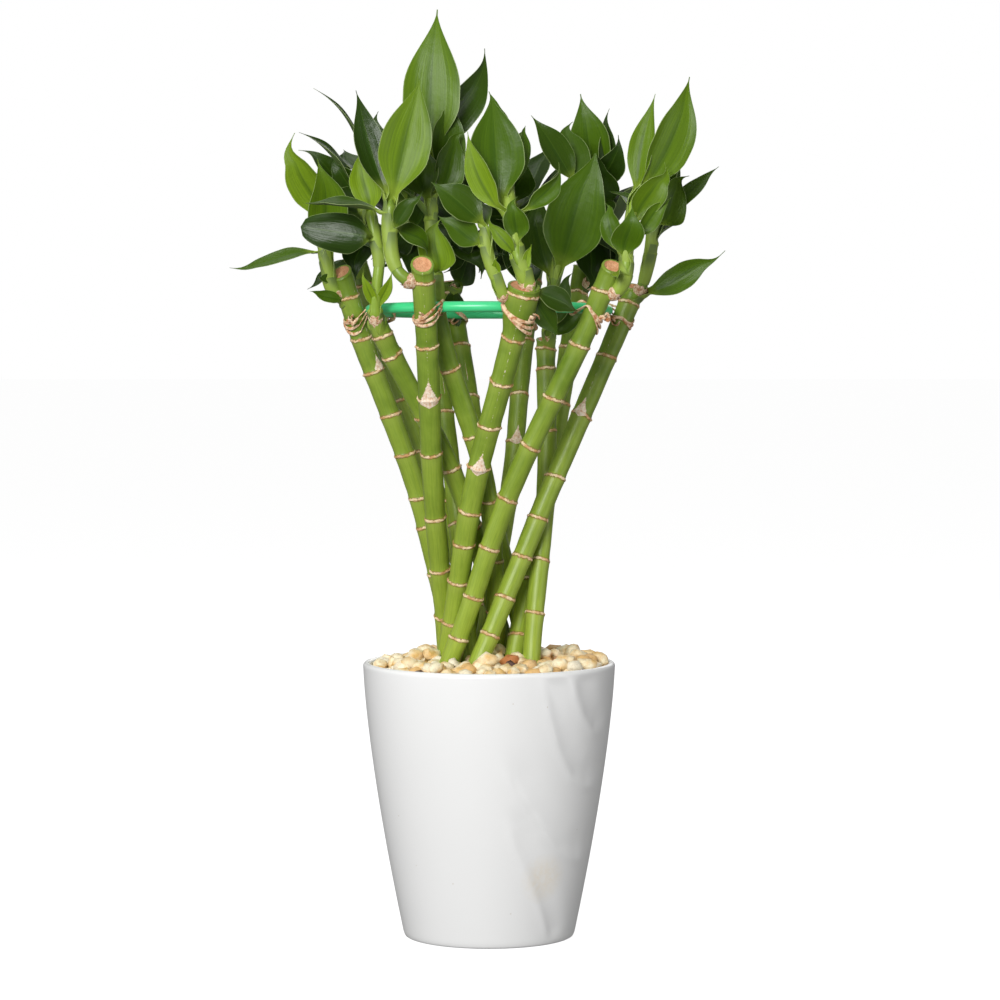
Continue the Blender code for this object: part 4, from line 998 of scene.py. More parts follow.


# A tone of .9 and more, given to the leaves at the back of the crown, is painted shade as well as
# age.
SHOOTS = dict(
    shoot_01=dict(cane=1, thick=(4.0, 2.6), stem=(
        (-66, -5, 301.5), (-73, -8, 306.5), (-76.5, -9, 321),
        (-79, -7, 336), (-80, -5, 347)), leaves=[
        leaf((-76.5, -8, 334), (-91, -14, 381), 16.5, (-4, -9, 1), .15, sway=-1),
        leaf((-72, -10, 323), (-80, -22, 368.5), 18, (1, -9, 2), .35, arch=2),
        leaf((-80, -4, 345), (-95, 6, 372), 8, (-3, -9, 2), .5),
        leaf((-76.5, -7.5, 325), (-122, -12, 318), 7, (0, -6, 9), .6, arch=2, twist=-30),
        leaf((-75, -8, 312), (-80, -16, 314), 4, (0, -9, 2), .7, arch=1),
        leaf((-67.5, -8.5, 301.5), (-84, -16, 307), 5.5, (1, -9, 3), .6, arch=1),
        leaf((-79.5, -5.5, 344), (-83, 20, 361), 12, (1, -2, 9), .7, arch=3),
        leaf((-79.5, -5.5, 340), (-95, 2, 370.5), 9, (4, -1, 9), .7, arch=3.5),
        leaf((-79.5, -6, 336), (-67, 12, 357), 13, (0, 0, 9), .7, arch=4),
    ]),
    shoot_02=dict(cane=2, thick=(3.6, 2.4), stem=(
        (-61.2, 33, 312.5), (-63, 28, 318.5), (-62, 25, 333),
        (-60, 26, 350), (-58, 28, 366)), leaves=[
        leaf((-58, 27, 364), (-84, 22, 404), 7, (4, -2, 9), .9, arch=6),
        leaf((-60, 25, 348), (-92, 34, 375), 12, (-1, -6, 9), .9),
        leaf((-61, 24.5, 345), (-74, 20, 372), 13, (-2, -9, 3), .9),
        leaf((-57.5, 26.5, 362), (-53, 22, 393), 10, (1, -9, 2), .9),
        leaf((-59, 28, 356), (-46, 34, 393), 10, (5, -9, 5), .9),
        leaf((-63, 26, 324), (-87, 18, 308), 9, (-1, -6, 9), .9, arch=1),
        leaf((-61.5, 25, 340), (-56, 6, 322), 17, (0, -9, 8), .9, arch=5),
        leaf((-59.5, 26.5, 355), (-71, 52, 376), 15, (0, -1, 9), .9, arch=4),
        leaf((-59.5, 26.5, 351), (-91, 22, 383), 15, (2, -2, 9), .9, arch=4),
        leaf((-59.5, 26.5, 347), (-54, 62, 373), 15, (-1, -5, 9), .9, arch=6),
        leaf((-60, 26.5, 343), (-76, 41, 364), 17, (2, -1, 9), .9, arch=2),
        leaf((-61, 26, 338), (-64, 14, 312), 14, (0, -9, 3), .95, arch=3),
        leaf((-61, 25, 346), (-73, 12, 343), 13, (0, -9, 3), .95, arch=2),
    ]),
    shoot_03=dict(cane=3, thick=(4.0, 3.0), stem=(
        (-50.5, -36.5, 287.5), (-52.5, -41.5, 297), (-51.5, -43.5, 310),
        (-50.5, -43.5, 322), (-53, -42.5, 334), (-55.5, -41, 346)), leaves=[
        leaf((-55, -41, 340), (-58, -43, 372), 13.5, (-1, -9, 1), .1),
        leaf((-49, -50.5, 331), (-86.5, -47, 336.5), 17.5, (-1, -9, 1.5), .95,
             arch=0, cup=-.6, point=.2, wavy=0),
        leaf((-52, -43.5, 296.5), (-57.5, -47, 316.5), 5, (-2, -9, 1), 0, arch=1),
        leaf((-51.5, -43.5, 297), (-44.5, -46, 316), 5, (2, -9, 1), 0, arch=1),
    ]),
    shoot_04=dict(cane=4, thick=(4.6, 3.2), stem=(
        (-29.5, -62.5, 310.5), (-37, -66, 312), (-43, -65.5, 319),
        (-45.5, -63, 333), (-44.5, -61.5, 349)), leaves=[
        leaf((-44.5, -62, 344), (-31.5, -58, 403), 22, (1, -9, 2), .25,
             arch=4, cup=.6, point=.7, wavy=.2),
        leaf((-44.5, -60.5, 346), (-61, -46, 399), 13, (2, -9, -2), .95,
             sway=-1.5, cup=.5, wavy=.2),
        leaf((-44.5, -64, 333), (-30, -66, 352), 8, (-4, -9, 1), .8, cup=.9),
        leaf((-46.5, -62.5, 343), (-83.5, -60, 347), 13, (0, -2.2, 9), .8,
             arch=2, cup=.79, point=.6),
        leaf((-44, -61, 345), (-42, -30, 385), 15, (4, -8, 9), .55, arch=5),
        leaf((-44, -62.5, 336), (-28, -50, 324), 13, (3, -9, 8), .55, arch=4),
    ]),
    shoot_05=dict(cane=5, thick=(3.4, 2.2), stem=(
        (-22.5, -43, 299.5), (-24, -40.5, 311), (-26, -36, 326),
        (-27, -31, 346), (-27.5, -27, 366)), leaves=[
        leaf((-27.5, -28, 362), (-24, -20, 438), 24.5, (-1, -9, 1), .35, arch=5, cup=.47, wavy=.2),
        leaf((-27, -26, 364), (-2, -5, 421), 16.5, (8, -9, 3), .8, arch=4),
        leaf((-27, -29, 358), (-12, -26, 396), 16, (3, -9, 2), .55, arch=4),
        leaf((-26.5, -31.5, 350), (-10, -34, 381), 14, (4, -9, 3), .55),
        leaf((-24, -41, 312.5), (-22, -46, 340), 16.5, (-2, -9, 1), .15, arch=4),
        leaf((-26.5, -33.5, 340), (-42, -48, 354), 8, (0, -4, 9), .55, arch=2),
        leaf((-27, -32, 347.5), (-34, -30, 376), 17, (-3, -9, 3), .55, arch=4),
        leaf((-26.5, -32, 344), (-12, -6, 366), 15, (-2, -2, 9), .55, arch=5),
    ]),
    shoot_06=dict(cane=6, thick=(3.5, 2.8), stem=(
        (7.8, -67, 303.5), (4.2, -69.5, 310),
        (-0.5, -70, 324.5), (-1, -68.5, 336.5)), leaves=[
        leaf((-.5, -68.5, 335), (-26, -66, 356.5), 16, (1, -9, 4), .75, arch=4, cup=.6, wavy=.3),
        leaf((-1, -69, 327), (-23, -67, 341), 12, (-3, -9, 3), .6, arch=2, wavy=.4),
        leaf((3, -70, 313.5), (4, -74, 322), 4, (0, -9, 1), .1, arch=.5),
        leaf((-1, -66.5, 330), (-15, -40, 354), 13, (3, -9, 9), .6, arch=4),
    ]),
    shoot_07=dict(cane=6, thick=(4.4, 2.8), stem=(
        (19, -67, 306), (16.2, -70, 314), (12.5, -70.5, 326),
        (10.5, -68, 338), (9, -62, 351), (8, -54, 362)), leaves=[
        leaf((5, -66, 341), (1.5, -49, 395.5), 24, (1, -9, 0), .6,
             arch=5, cup=.7, point=.7, wavy=0),
        leaf((7.5, -70, 340), (-9.5, -71, 379), 11.5, (-3, -9, -1), .1,
             sway=-2.5, cup=.5, wavy=0),
        leaf((8, -54, 362), (0, -29, 399.5), 13, (-2, -9, 3), .6),
        leaf((8.5, -54, 360), (17, -38, 383), 6, (2, -9, 3), .55),
        leaf((10, -58, 353), (17, -42, 383), 8, (6, -9, 1), .55),
        leaf((15, -67.5, 341), (32, -62, 365.5), 9, (2, -9, 4), .5,
             arch=2, sway=3, twist=50, cup=1.08),
        leaf((19, -67, 308), (41, -56, 298), 11, (0, -9, 3), .85, arch=2, wavy=.5),
        leaf((19.5, -66.5, 307), (31, -55, 285), 10, (0, -9, 2), .75, arch=1, wavy=.5),
        leaf((12, -71.5, 327), (13, -74, 349.5), 11.5, (0, -9, 2), .5, cup=.9),
        leaf((12.5, -71, 321.5), (.3, -74, 340.5), 6.5, (-2, -9, 1), .2, arch=2),
        leaf((14.8, -71.5, 314.5), (19.5, -74, 328), 4, (3, -9, 1), 0, arch=.5),
    ]),
    shoot_08=dict(cane=7, thick=(4.2, 2.8), stem=(
        (53.5, -45.5, 304.5), (59, -47.5, 307), (62.8, -47.5, 314.5),
        (63.5, -47, 325), (65, -46, 337), (67, -43, 350)), leaves=[
        leaf((63, -48.5, 320), (66, -54, 346), 14, (-1, -9, 1), .5, arch=4, cup=.8),
        leaf((62, -48.5, 314.5), (58, -68, 312), 5, (-8, -4, 9), .1),
        leaf((65.5, -47, 335), (81, -45, 366), 13.5, (3, -9, 1), .3, cup=.9),
        leaf((60.5, -45.5, 323), (54, -38, 347.5), 9, (-3, -9, 1), .5),
        leaf((68.5, -42, 347), (77, -35, 398), 11, (-3, -9, 1), .3, sway=-1.5, wavy=.4),
        leaf((67, -43, 349), (93, -32, 406), 19, (4, -9, 2), .35, arch=5, sway=4, cup=.6, wavy=.4),
        leaf((65.5, -46.5, 331), (84, -46, 350), 9, (9, -9, 7), .4, arch=2, cup=1.08),
    ]),
    shoot_09=dict(cane=8, thick=(4.0, 2.6), stem=(
        (67.5, 0, 302.5), (72, -3, 308.5), (75, -4, 320),
        (77, -3, 333), (79, 0, 346)), leaves=[
        leaf((69.5, -6, 304.5), (111, -12, 326), 12, (1, -9, 5), .45,
             arch=-1, sway=1.5, twist=35, point=1.3),
        leaf((77.5, -3, 337), (94, -12, 361), 15.5, (3, -9, 1), .4, cup=.79),
        leaf((78, -1, 337.5), (109, 5, 366), 9, (4, -5, 9), .6, arch=1),
        leaf((76, -2.5, 324), (91, 2, 342), 8, (-6, -1, 9), .7, arch=4),
        leaf((78.5, 1, 345), (90, 6, 380), 10, (9, -6, 6), .7),
        leaf((78.5, -1, 342), (90, 24, 372), 16.5, (-1, -2, 9), .7, arch=7),
        leaf((78.5, -1, 338), (58, 26, 355), 16.5, (1, -1, 9), .7, arch=3.5),
        leaf((78, -1.5, 328), (91.5, 4, 341.5), 6, (-3, -1, 9), .7, arch=2.5),
    ]),
    shoot_10=dict(cane=9, thick=(3.8, 2.6), stem=(
        (44, 53, 305.5), (49, 50, 312), (52.5, 47.5, 325),
        (54, 45, 342), (53, 42, 358)), leaves=[
        leaf((53, 42, 356), (44, 36, 402), 19, (-1, -9, 1), .5, arch=4, wavy=.3),
        leaf((53.5, 42, 352), (58, 36, 395), 9, (4, -9, 1), .9),
        leaf((53.5, 44, 346), (52, 26, 372), 16, (2, -9, 3), .9),
        leaf((53, 46, 340), (59, 22, 320), 19, (1, -9, 6), .9, arch=6),
        leaf((53, 45, 346), (50, 16, 338), 18, (-1, -9, 6), .9, arch=6),
        leaf((54, 45, 348), (58, 82, 384), 16, (0, -5, 9), .9, arch=5),
        leaf((54, 45, 344), (26, 59, 381), 16.5, (1, 0, 9), .9, arch=7),
        leaf((54, 45, 340), (94, 67, 368), 16, (-2, -1, 9), .9, arch=3.5),
        leaf((54, 45, 336), (40, 82, 362), 18, (1, -3, 9), .9, arch=4.5),
        leaf((54, 45.5, 332), (85, 37, 360), 16, (0, 0, 9), .9, arch=5.5),
        leaf((53, 44, 338), (45, 22, 307), 18, (0, -9, 3), .95, arch=3),
        leaf((54, 44, 330), (63, 27, 308), 14, (0, -9, 3), .95, arch=3),
        leaf((53, 43, 352), (62, 28, 382), 14, (1, -9, 1), .95, arch=3),
    ]),
    shoot_11=dict(cane=10, thick=(3.4, 2.2), stem=(
        (28.5, 8.5, 279.5), (28.5, 3, 288), (29.5, -1, 301), (31.5, -3, 316),
        (34.5, -1, 333), (38, 3, 350), (41.5, 6, 362)), leaves=[
        leaf((32, -3.5, 312), (50, -16, 371.5), 26, (0, -9, 1), .5,
             arch=5, cup=.43, point=.6, wavy=.2),
        leaf((42, 5, 356), (20, 3, 390), 14, (2, -9, 4), .75, wavy=.3),
        leaf((33, -1, 326), (46, -2, 350), 14, (3, -9, 3), .7, arch=4),
        leaf((39.5, 5, 354), (40, 22, 388), 15, (0, -9, 8), .7, arch=4),
        leaf((30.5, -1, 311), (18, 6, 352), 18, (-1, -9, 2), .7, arch=4),
        leaf((28, -2, 285), (24, -5, 312), 9, (1, -9, 1), .6, arch=2, cup=.9),
        leaf((29.5, -3, 288), (40, -7, 316), 9, (-2, -9, 1), .8, arch=2, cup=.9),
        leaf((29, -3, 284), (45, -2, 300), 9, (0, -9, 2), .7, arch=2, cup=.9),
    ]),
    shoot_12=dict(cane=11, thick=(3.2, 2.0), stem=(
        (21, 68, 311), (15.5, 69.5, 318),
        (12.5, 67, 333), (11.5, 61, 350)), leaves=[
        leaf((11.5, 60.5, 348), (16, 44, 372), 16, (1, -9, 2), .9),
        leaf((12, 64, 338.5), (24, 34, 343), 18, (0, -9, 6), .9, arch=6),
        leaf((11.5, 62, 348), (3, 102, 369), 15.5, (1, -5, 9), .9, arch=2.5),
        leaf((11.5, 62, 344), (-36, 73, 376), 19, (1, 0, 9), .9, arch=3.5),
        leaf((12, 63, 340.5), (32, 90, 383), 18, (-3, -4, 9), .9, arch=2),
        leaf((12, 64.5, 337), (-11, 92, 369), 18.5, (1, -1, 9), .9, arch=5),
        leaf((12.5, 65.5, 333.5), (50, 74, 375), 18, (-3, -1, 9), .9, arch=5),
        leaf((12.5, 65, 336), (21, 46, 304), 18, (0, -9, 3), .95, arch=4),
        leaf((12, 64, 340), (-5, 44, 347), 17, (0, -9, 3), .95, arch=3),
        leaf((12.5, 66, 331), (-5, 46, 316), 17, (0, -9, 3), .95, arch=3),
    ]),
    shoot_13=dict(cane=12, thick=(3.2, 2.0), stem=(
        (-19.5, 65, 304), (-15.5, 61, 312),
        (-13, 57, 330), (-12, 52, 350)), leaves=[
        leaf((-12, 52, 348), (-4, 36, 386), 16, (2, -9, 2), .9),
        leaf((-12, 52, 346), (-17, 34, 384), 15, (-2, -9, 2), .9),
        leaf((-13, 57, 332), (-4, 30, 313), 19, (1, -9, 6), .9, arch=6),
        leaf((-12.5, 55, 338), (1, 32, 339), 17, (1, -9, 8), .9, arch=6),
        leaf((-12, 53, 346), (0, 128, 365), 15.5, (-1, -4, 9), .9, arch=2.5),
        leaf((-12, 53, 342), (-36, 70, 372), 17.5, (3, -2, 9), .9, arch=2.5),
        leaf((-12.5, 53.5, 338), (13, 39, 365), 15.5, (-4, -3, 9), .9, arch=2),
        leaf((-12.5, 54.5, 334.5), (-26, 85, 358), 16.5, (1, -2, 9), .9, arch=7),
        leaf((-12.5, 53, 342), (-22, 36, 316), 18, (0, -9, 3), .95, arch=4),
        leaf((-12, 52, 347), (6, 38, 376), 15, (1, -9, 1), .95, arch=4),
        leaf((-12.5, 54, 339), (-28, 38, 353), 16, (0, -9, 2), .95, arch=3),
        leaf((-17, 63, 309), (-6, 50, 328), 13, (0, -9, 2), .9, arch=2),
        leaf((-16.5, 62, 311), (-17, 55, 287), 9, (0, -9, 2), .9, arch=2),
        leaf((-13, 56, 333), (8, 40, 325), 16, (0, -9, 3), .95, arch=3),
    ]),
    shoot_14=dict(cane=13, thick=(3.2, 2.0), stem=(
        (-30, 60, 301.5), (-35, 58, 308),
        (-38, 54, 325), (-38.5, 48, 346)), leaves=[
        leaf((-38.5, 47, 346), (-34, 30, 386), 15, (1, -9, 2), .9),
        leaf((-38.5, 49, 342), (-48, 40, 378), 15, (-3, -9, 3), .9),
        leaf((-38, 53, 330), (-38, 28, 313), 19, (0, -9, 6), .9, arch=6),
        leaf((-38, 51, 336), (-20, 30, 325), 17, (1, -9, 8), .9, arch=6),
        leaf((-38.5, 49, 342), (-56, 76, 379), 16, (3, -5, 9), .9, arch=5.5),
        leaf((-38.5, 49, 338), (-72, 60, 373), 18, (4, 0, 9), .9, arch=6),
        leaf((-38.5, 50, 334.5), (-30, 94, 379), 17, (0, -1, 9), .9, arch=7),
        leaf((-38, 51, 330.5), (-74, 69, 360), 15.5, (4, -3, 9), .9, arch=6),
        leaf((-38.5, 49, 340), (-53, 38, 318), 17, (0, -9, 3), .95, arch=4),
        leaf((-38.5, 48, 345), (-44, 36, 378), 14, (0, -9, 1), .95, arch=4),
        leaf((-38.5, 51, 335), (-24, 34, 353), 15, (0, -9, 2), .95, arch=3),
    ]),
)
print("leaves:", sum(len(shoot["leaves"]) for shoot in SHOOTS.values()))

# %% [markdown]
# ## How a leaf is built
# The base of a leaf wraps the stem as a sheath; then it opens into a blade
# that is widest a little below the middle and ends in a long fine point. A
# flat grid keeps this simple: its rows run from the sheath's foot to the
# tip and its columns across. While it is still flat it gets its UV map, so
# that veins follow the leaf. Then each point is moved onto the sheath, onto
# the blade, or in between, and the sheet gets its thickness. Cloth simulation
# could bend it too, but not to the same place each time.

# %% Blade
WIDEST = .50  # share of the length
NECK = .17
THINNEST = .02
GROOVE_DEPTH = .0003
TIP_WAVE = 1.6  # this and the next three are shares of the width
SWING = .09
CURL = .12
RUFFLE = .10


def blade_width(share, point=1):
    """A blade's half width at a share of its length; a larger point draws the tip out longer."""
    if share <= WIDEST:
        full = ((1 - math.cos(math.pi * min(1.2 * share / WIDEST, 1))) / 2) ** 1.1
    else:
        full = ((1 + math.cos(math.pi * (share - WIDEST) / (1 - WIDEST))) / 2) ** point
    return max(full, NECK * (1 - share) ** 2, THINNEST)


def cross_section(spec, along, across):
    """How far a point is from the midrib, to the side and up, in half widths: an arc."""
    bend = spec["cup"] * (1 - .35 * along)
    aside = math.sin(bend * abs(across)) / bend
    rise = (1 - math.cos(bend * across)) / bend
    return math.copysign(aside, across), rise - .4 * (1 - math.cos(bend)) / bend


def blade_point(spec, along, across, wave):
    """A point on the open blade: along from 0 to 1, across from -1 to 1."""
    chord = spec["tip"] - spec["root"]
    forward = chord.normalized()
    face = (spec["look"] - forward * spec["look"].dot(forward)).normalized()
    turn = Matrix.Rotation(math.radians(spec["twist"]) * along, 3, forward)
    side = turn @ forward.cross(face)
    face = turn @ face
    width = spec["width"]
    half = width * blade_width(along, spec["point"]) / 2
    bend = 4 * along * (1 - along)
    aside, rise = cross_section(spec, along, across)
    groove = half * rise - GROOVE_DEPTH * math.exp(-(across / .15) ** 2) * (1 - along)
    ripple = half * (RUFFLE * across ** 2 * math.sin(along * 9 + wave + 1.4 * across)
                     + .02 * math.sin(across * 11 + wave))
    swing = SWING * width * math.sin(math.tau * along) * math.sin(wave * 2.3)
    tip_share = smoothstep(along, .7, .95)
    swing += TIP_WAVE * width * tip_share * (1 - along) * math.sin(wave * 5.1)
    curl = CURL * width * math.sin(math.tau * along) * math.cos(wave * 1.7)
    middle = spec["root"] + chord * along + side * (spec["sway"] * bend + swing * spec["wavy"])
    rise = spec["arch"] * bend + groove + ripple + curl * spec["wavy"]
    return middle + side * aside * half + face * rise


print("half width a third of the way up:", round(blade_width(.33), 2))

# %% Sheath and solid leaf
SHEATH_OPEN = math.radians(118)
SHEATH_CLOSED = math.radians(178)
SHEATH_ROWS, BLADE_ROWS, COLUMNS = 6, 26, 10
ROWS = SHEATH_ROWS + BLADE_ROWS
OPENS_BY = .2
SHEATH_LENGTHS = (.008, .013)
SHEATH_GAP, SHEATH_NEST = .0004, .00007  # off the stem, and off the next sheath inside
LEAF_THICKNESS = .0005
LOWER_SIDE, STEM, SCALE = 1, 2, 3  # material slots; 0 is the leaves' upper side


def sheath_point(spec, stem, below, across):
    """A point of the sheath: below is 0 at its mouth, 1 at its foot; across goes round it."""
    point, ahead, radius = stem(below)
    chord = (spec["tip"] - spec["root"]).normalized()
    face = (spec["look"] - chord * spec["look"].dot(chord)).normalized()
    out = chord - face * .6
    out = (out - ahead * out.dot(ahead)).normalized()
    side = ahead.cross(out)
    if side.dot(chord.cross(face)) < 0:
        side = -side
    turn = across * (SHEATH_OPEN + (SHEATH_CLOSED - SHEATH_OPEN) * smoothstep(below, 0, .7))
    return point + radius * (math.cos(turn) * out + math.sin(turn) * side)


def grid_row(vertex):
    """Which row of the flat grid a vertex is in, from the sheath's foot."""
    return round((vertex.co.y + 1) / 2 * ROWS)


def shape_leaf(shape, layers, spec, stem, wave):
    """Add one leaf to a shoot: a grid, moved onto sheath and blade, then made solid."""
    uv, tone, pale, collar = layers
    made = bmesh.ops.create_grid(shape, x_segments=COLUMNS, y_segments=ROWS, size=1)["verts"]
    faces = {face for vertex in made for face in vertex.link_faces}
    for face in faces:
        for corner in face.loops:
            row = grid_row(corner.vert)
            corner[uv].uv = (corner.vert.co.x / 2 + .5, (row - SHEATH_ROWS) / BLADE_ROWS)
    thickness = {}
    for vertex in made:
        across = vertex.co.x
        row = grid_row(vertex)
        along = max(row - SHEATH_ROWS, 0) / BLADE_ROWS
        below = max(SHEATH_ROWS - row, 0) / SHEATH_ROWS
        open_share = smoothstep(along, 0, OPENS_BY)
        wrapped = sheath_point(spec, stem, below, across)
        wrapped += (spec["tip"] - spec["root"]) * along
        vertex.co = wrapped.lerp(blade_point(spec, along, across, wave), open_share)
        vertex[tone] = spec["tone"]
        vertex[pale] = 1 - smoothstep(along, .04, .26)
        rim = (1 - smoothstep(below, 0, .6)) * smoothstep(abs(across), .2, .6)
        vertex[collar] = 0 if along else rim
        edge_share = 1 - .5 * smoothstep(abs(across), .5, 1)
        thickness[vertex] = LEAF_THICKNESS * edge_share * (1 - .7 * smoothstep(along, .6, .95))
    thicken(shape, spec, list(faces), thickness)


def thicken(shape, spec, faces, thickness):
    """Close the sheet into a thin solid whose lower skin has its own material."""
    bmesh.ops.recalc_face_normals(shape, faces=faces)
    for face in faces:
        face.normal_update()
    look = sum((face.normal * face.calc_area() for face in faces), Vector())
    if look.dot(spec["look"]) < 0:
        bmesh.ops.reverse_faces(shape, faces=faces)
    for vertex in thickness:
        vertex.normal_update()
    sunk = {vertex: vertex.co - vertex.normal * thick for vertex, thick in thickness.items()}
    bmesh.ops.extrude_face_region(shape, geom=faces, use_keep_orig=True)
    bmesh.ops.reverse_faces(shape, faces=faces)
    for vertex, place in sunk.items():
        vertex.co = place
    for face in faces:
        face.material_index = LOWER_SIDE


print("faces in a leaf's sheet:", ROWS * COLUMNS)

# %% [markdown]
# ## Stems, collars and bud scales
# The stem is turned straight, with a slight collar where each sheath
# starts, and bent onto its curve. Its foot is sunk in the cane's node, in
# the dry scales of the bud that it broke out of. They are two small rings
# whose rims are frayed by noise.

# %% Stems
STEM_SHARE = .74
STEM_ROWS, STEM_SIDES, SCALE_SIDES = 48, 16, 24
COLLAR_RISE, COLLAR_WIDTH = .00035, .012
SCALE_RINGS = ((.0002, .0005), (.0012, .0002))  # rise and flare


def shoot_stem(spec):
    """The stem's path, which starts inside its cane, and its radius along the way."""
    points = [Vector(point) * MM for point in spec["stem"]]
    heart = cane_axis(CANES[spec["cane"] - 1], points[0].z)
    dense = smooth_path([points[0].lerp(heart, .5)] + points)
    frames = carried_frames(dense)
    first, last = (radius * STEM_SHARE * MM for radius in spec["thick"])

    def radius_at(share):
        return first + (last - first) * share

    return frames, radius_at


def add_stem(shape, layers, spec, frames, radius_at, collars):
    """Add the stem, swollen at its foot and stepped at its collars."""
    _, tone, pale, _ = layers
    # The stem takes its leaves' average tone: their age, and painted shade for the shoots at the
    # back.
    age_and_shade = sum(leaf_spec["tone"] for leaf_spec in spec["leaves"]) / len(spec["leaves"])
    profile = [(0, 0)]
    for row in range(STEM_ROWS + 1):
        share = row / STEM_ROWS
        collar = sum(COLLAR_RISE * math.exp(-((share - place) / COLLAR_WIDTH) ** 2)
                     for place in collars)
        taper = 1 - .75 * smoothstep(share, .93, 1)
        foot = 1 + .3 * smoothstep(1 - share, .8, 1)
        profile.append(((radius_at(share) * foot + collar) * taper, share))
    profile.append((0, 1))
    straight = turned(profile, STEM_SIDES)
    for vertex in straight.verts:
        point, ahead, side = frame_at(frames, vertex.co.z)
        vertex.co = point + side * vertex.co.x + ahead.cross(side) * vertex.co.y
    for face in join_part(shape, straight, STEM):
        for corner in face.verts:
            corner[tone] = age_and_shade
            corner[pale] = 1


def way_out(spec, frames):
    """The share of the stem's path at which it comes out of its cane."""
    cane_spec = CANES[spec["cane"] - 1]
    for index, (point, _, _) in enumerate(frames):
        aside = (point - cane_axis(cane_spec, point.z)).length
        if point.z > cane_spec["height"] * MM or aside > cane_radius(cane_spec, point.z):
            return index / (len(frames) - 1)
    return 0


def add_scales(shape, frames, start_at, length, radius_at, draw):
    """Add the dry, frayed bud scales that the shoot broke through."""
    for rise, flare in SCALE_RINGS:
        foot = start_at * length + rise
        radius = radius_at(start_at) * 1.10
        profile = [(radius - .0004, foot - .002), (radius, foot - .002), (radius + flare, foot),
                   (radius + flare * 1.3, foot + .0012), (radius + flare, foot + .0014),
                   (radius - .0002, foot), (radius - .0004, foot - .002)]
        straight = turned(profile, SCALE_SIDES)
        seed = draw.uniform(0, SEEDS)
        for vertex in straight.verts:
            x, y, height = vertex.co
            fray = noise.noise(Vector((x * 700, y * 700, seed))) * .0016
            fray *= smoothstep(height, foot, foot + .0012)
            point, ahead, side = frame_at(frames, (height + fray) / length)
            vertex.co = point + side * x + ahead.cross(side) * y
        join_part(shape, straight, SCALE)


def nearest_share(frames, place):
    """The share along the path of the point nearest to a place."""
    index = min(range(len(frames)), key=lambda item: (frames[item][0] - place).length)
    return index / (len(frames) - 1)


def build_shoot(name, spec):
    """One shoot: its stem, its bud scales and all its leaves, lowest first."""
    draw = random.Random(name)
    shape = bmesh.new()
    layers = (shape.loops.layers.uv.new("leaf_uv"), shape.verts.layers.float.new("tone"),
              shape.verts.layers.float.new("pale"), shape.verts.layers.float.new("collar"))
    frames, radius_at = shoot_stem(spec)
    length = sum((first[0] - last[0]).length for first, last in zip(frames, frames[1:]))
    places = [nearest_share(frames, leaf_spec["root"]) for leaf_spec in spec["leaves"]]
    add_stem(shape, layers, spec, frames, radius_at, places)
    add_scales(shape, frames, way_out(spec, frames), length, radius_at, draw)
    order = sorted(range(len(places)), key=lambda item: places[item])
    for rank, index in enumerate(order):
        leaf_spec = spec["leaves"][index]
        share = places[index]
        sheath = min(draw.uniform(*SHEATH_LENGTHS), max(share * length - .006, .0015))
        lift = SHEATH_GAP + SHEATH_NEST * (len(order) - rank)

        def stem(below, share=share, sheath=sheath, lift=lift):
            place = share - below * sheath / length
            point, ahead, _ = frame_at(frames, place)
            return point, ahead, radius_at(place) + lift * (1 - below) ** .6 - .00015 * below

        shape_leaf(shape, layers, leaf_spec, stem, draw.uniform(0, math.tau))
    return shape


print("shoots to build:", len(SHOOTS))

# %% [markdown]
# ## The leaves' skins
# Living leaf: a waxy, glossy upper side, yellow-green when young and deep
# green when old, with fine parallel veins and a thin pale margin. Leaves at
# the back of the crown are made darker still, which is painted shade, and
# darker bands along each blade paint the shade of its folds. The lower side
# has no gloss and is greyer. Leaf bases and stems are pale. A picture of a
# leaf could be laid on the UV map, but bands drawn along the same map stay
# sharp and cost nothing.

# %% Upper side of the leaves
# Across a leaf 15 mm wide, 26 veins are 0.6 mm apart, coarser than real ones,
# and 3 or 4 darker bands between the midrib and the margins are painted shade
# of the blade's folds.
def leaf_values(tree):
    """What a leaf's material reads: its UV map, tone, pale base and dark collar."""
    uv = add_node(tree, "UVMap", uv_map="leaf_uv").outputs[0]
    tone, pale, collar = (add_node(tree, "Attribute", attribute_name=name).outputs["Fac"]
                          for name in ("tone", "pale", "collar"))
    return uv, tone, pale, collar


leaf_upper, tree, shader = new_material("waxy_leaf_upper", .34, Specular_IOR_Level=.24)
uv, tone, pale, collar = leaf_values(tree)
axes = add_node(tree, "SeparateXYZ", {0: uv})
green = laid_over(tree, "#82a018", "#4f6f0a", tone, 0, .45)
green = laid_over(tree, green, "#1d300a", tone, .45, 1)
veins = add_node(tree, "Mapping", {"Vector": uv, "Scale": (26, 1.1, 1)}).outputs[0]
vein_noise = add_node(tree, "TexNoise", {"Vector": veins, "Scale": 1, "Detail": 3})
green = laid_over(tree, green, "#2f4d0c", vein_noise.outputs["Fac"], .4, .65, .35)
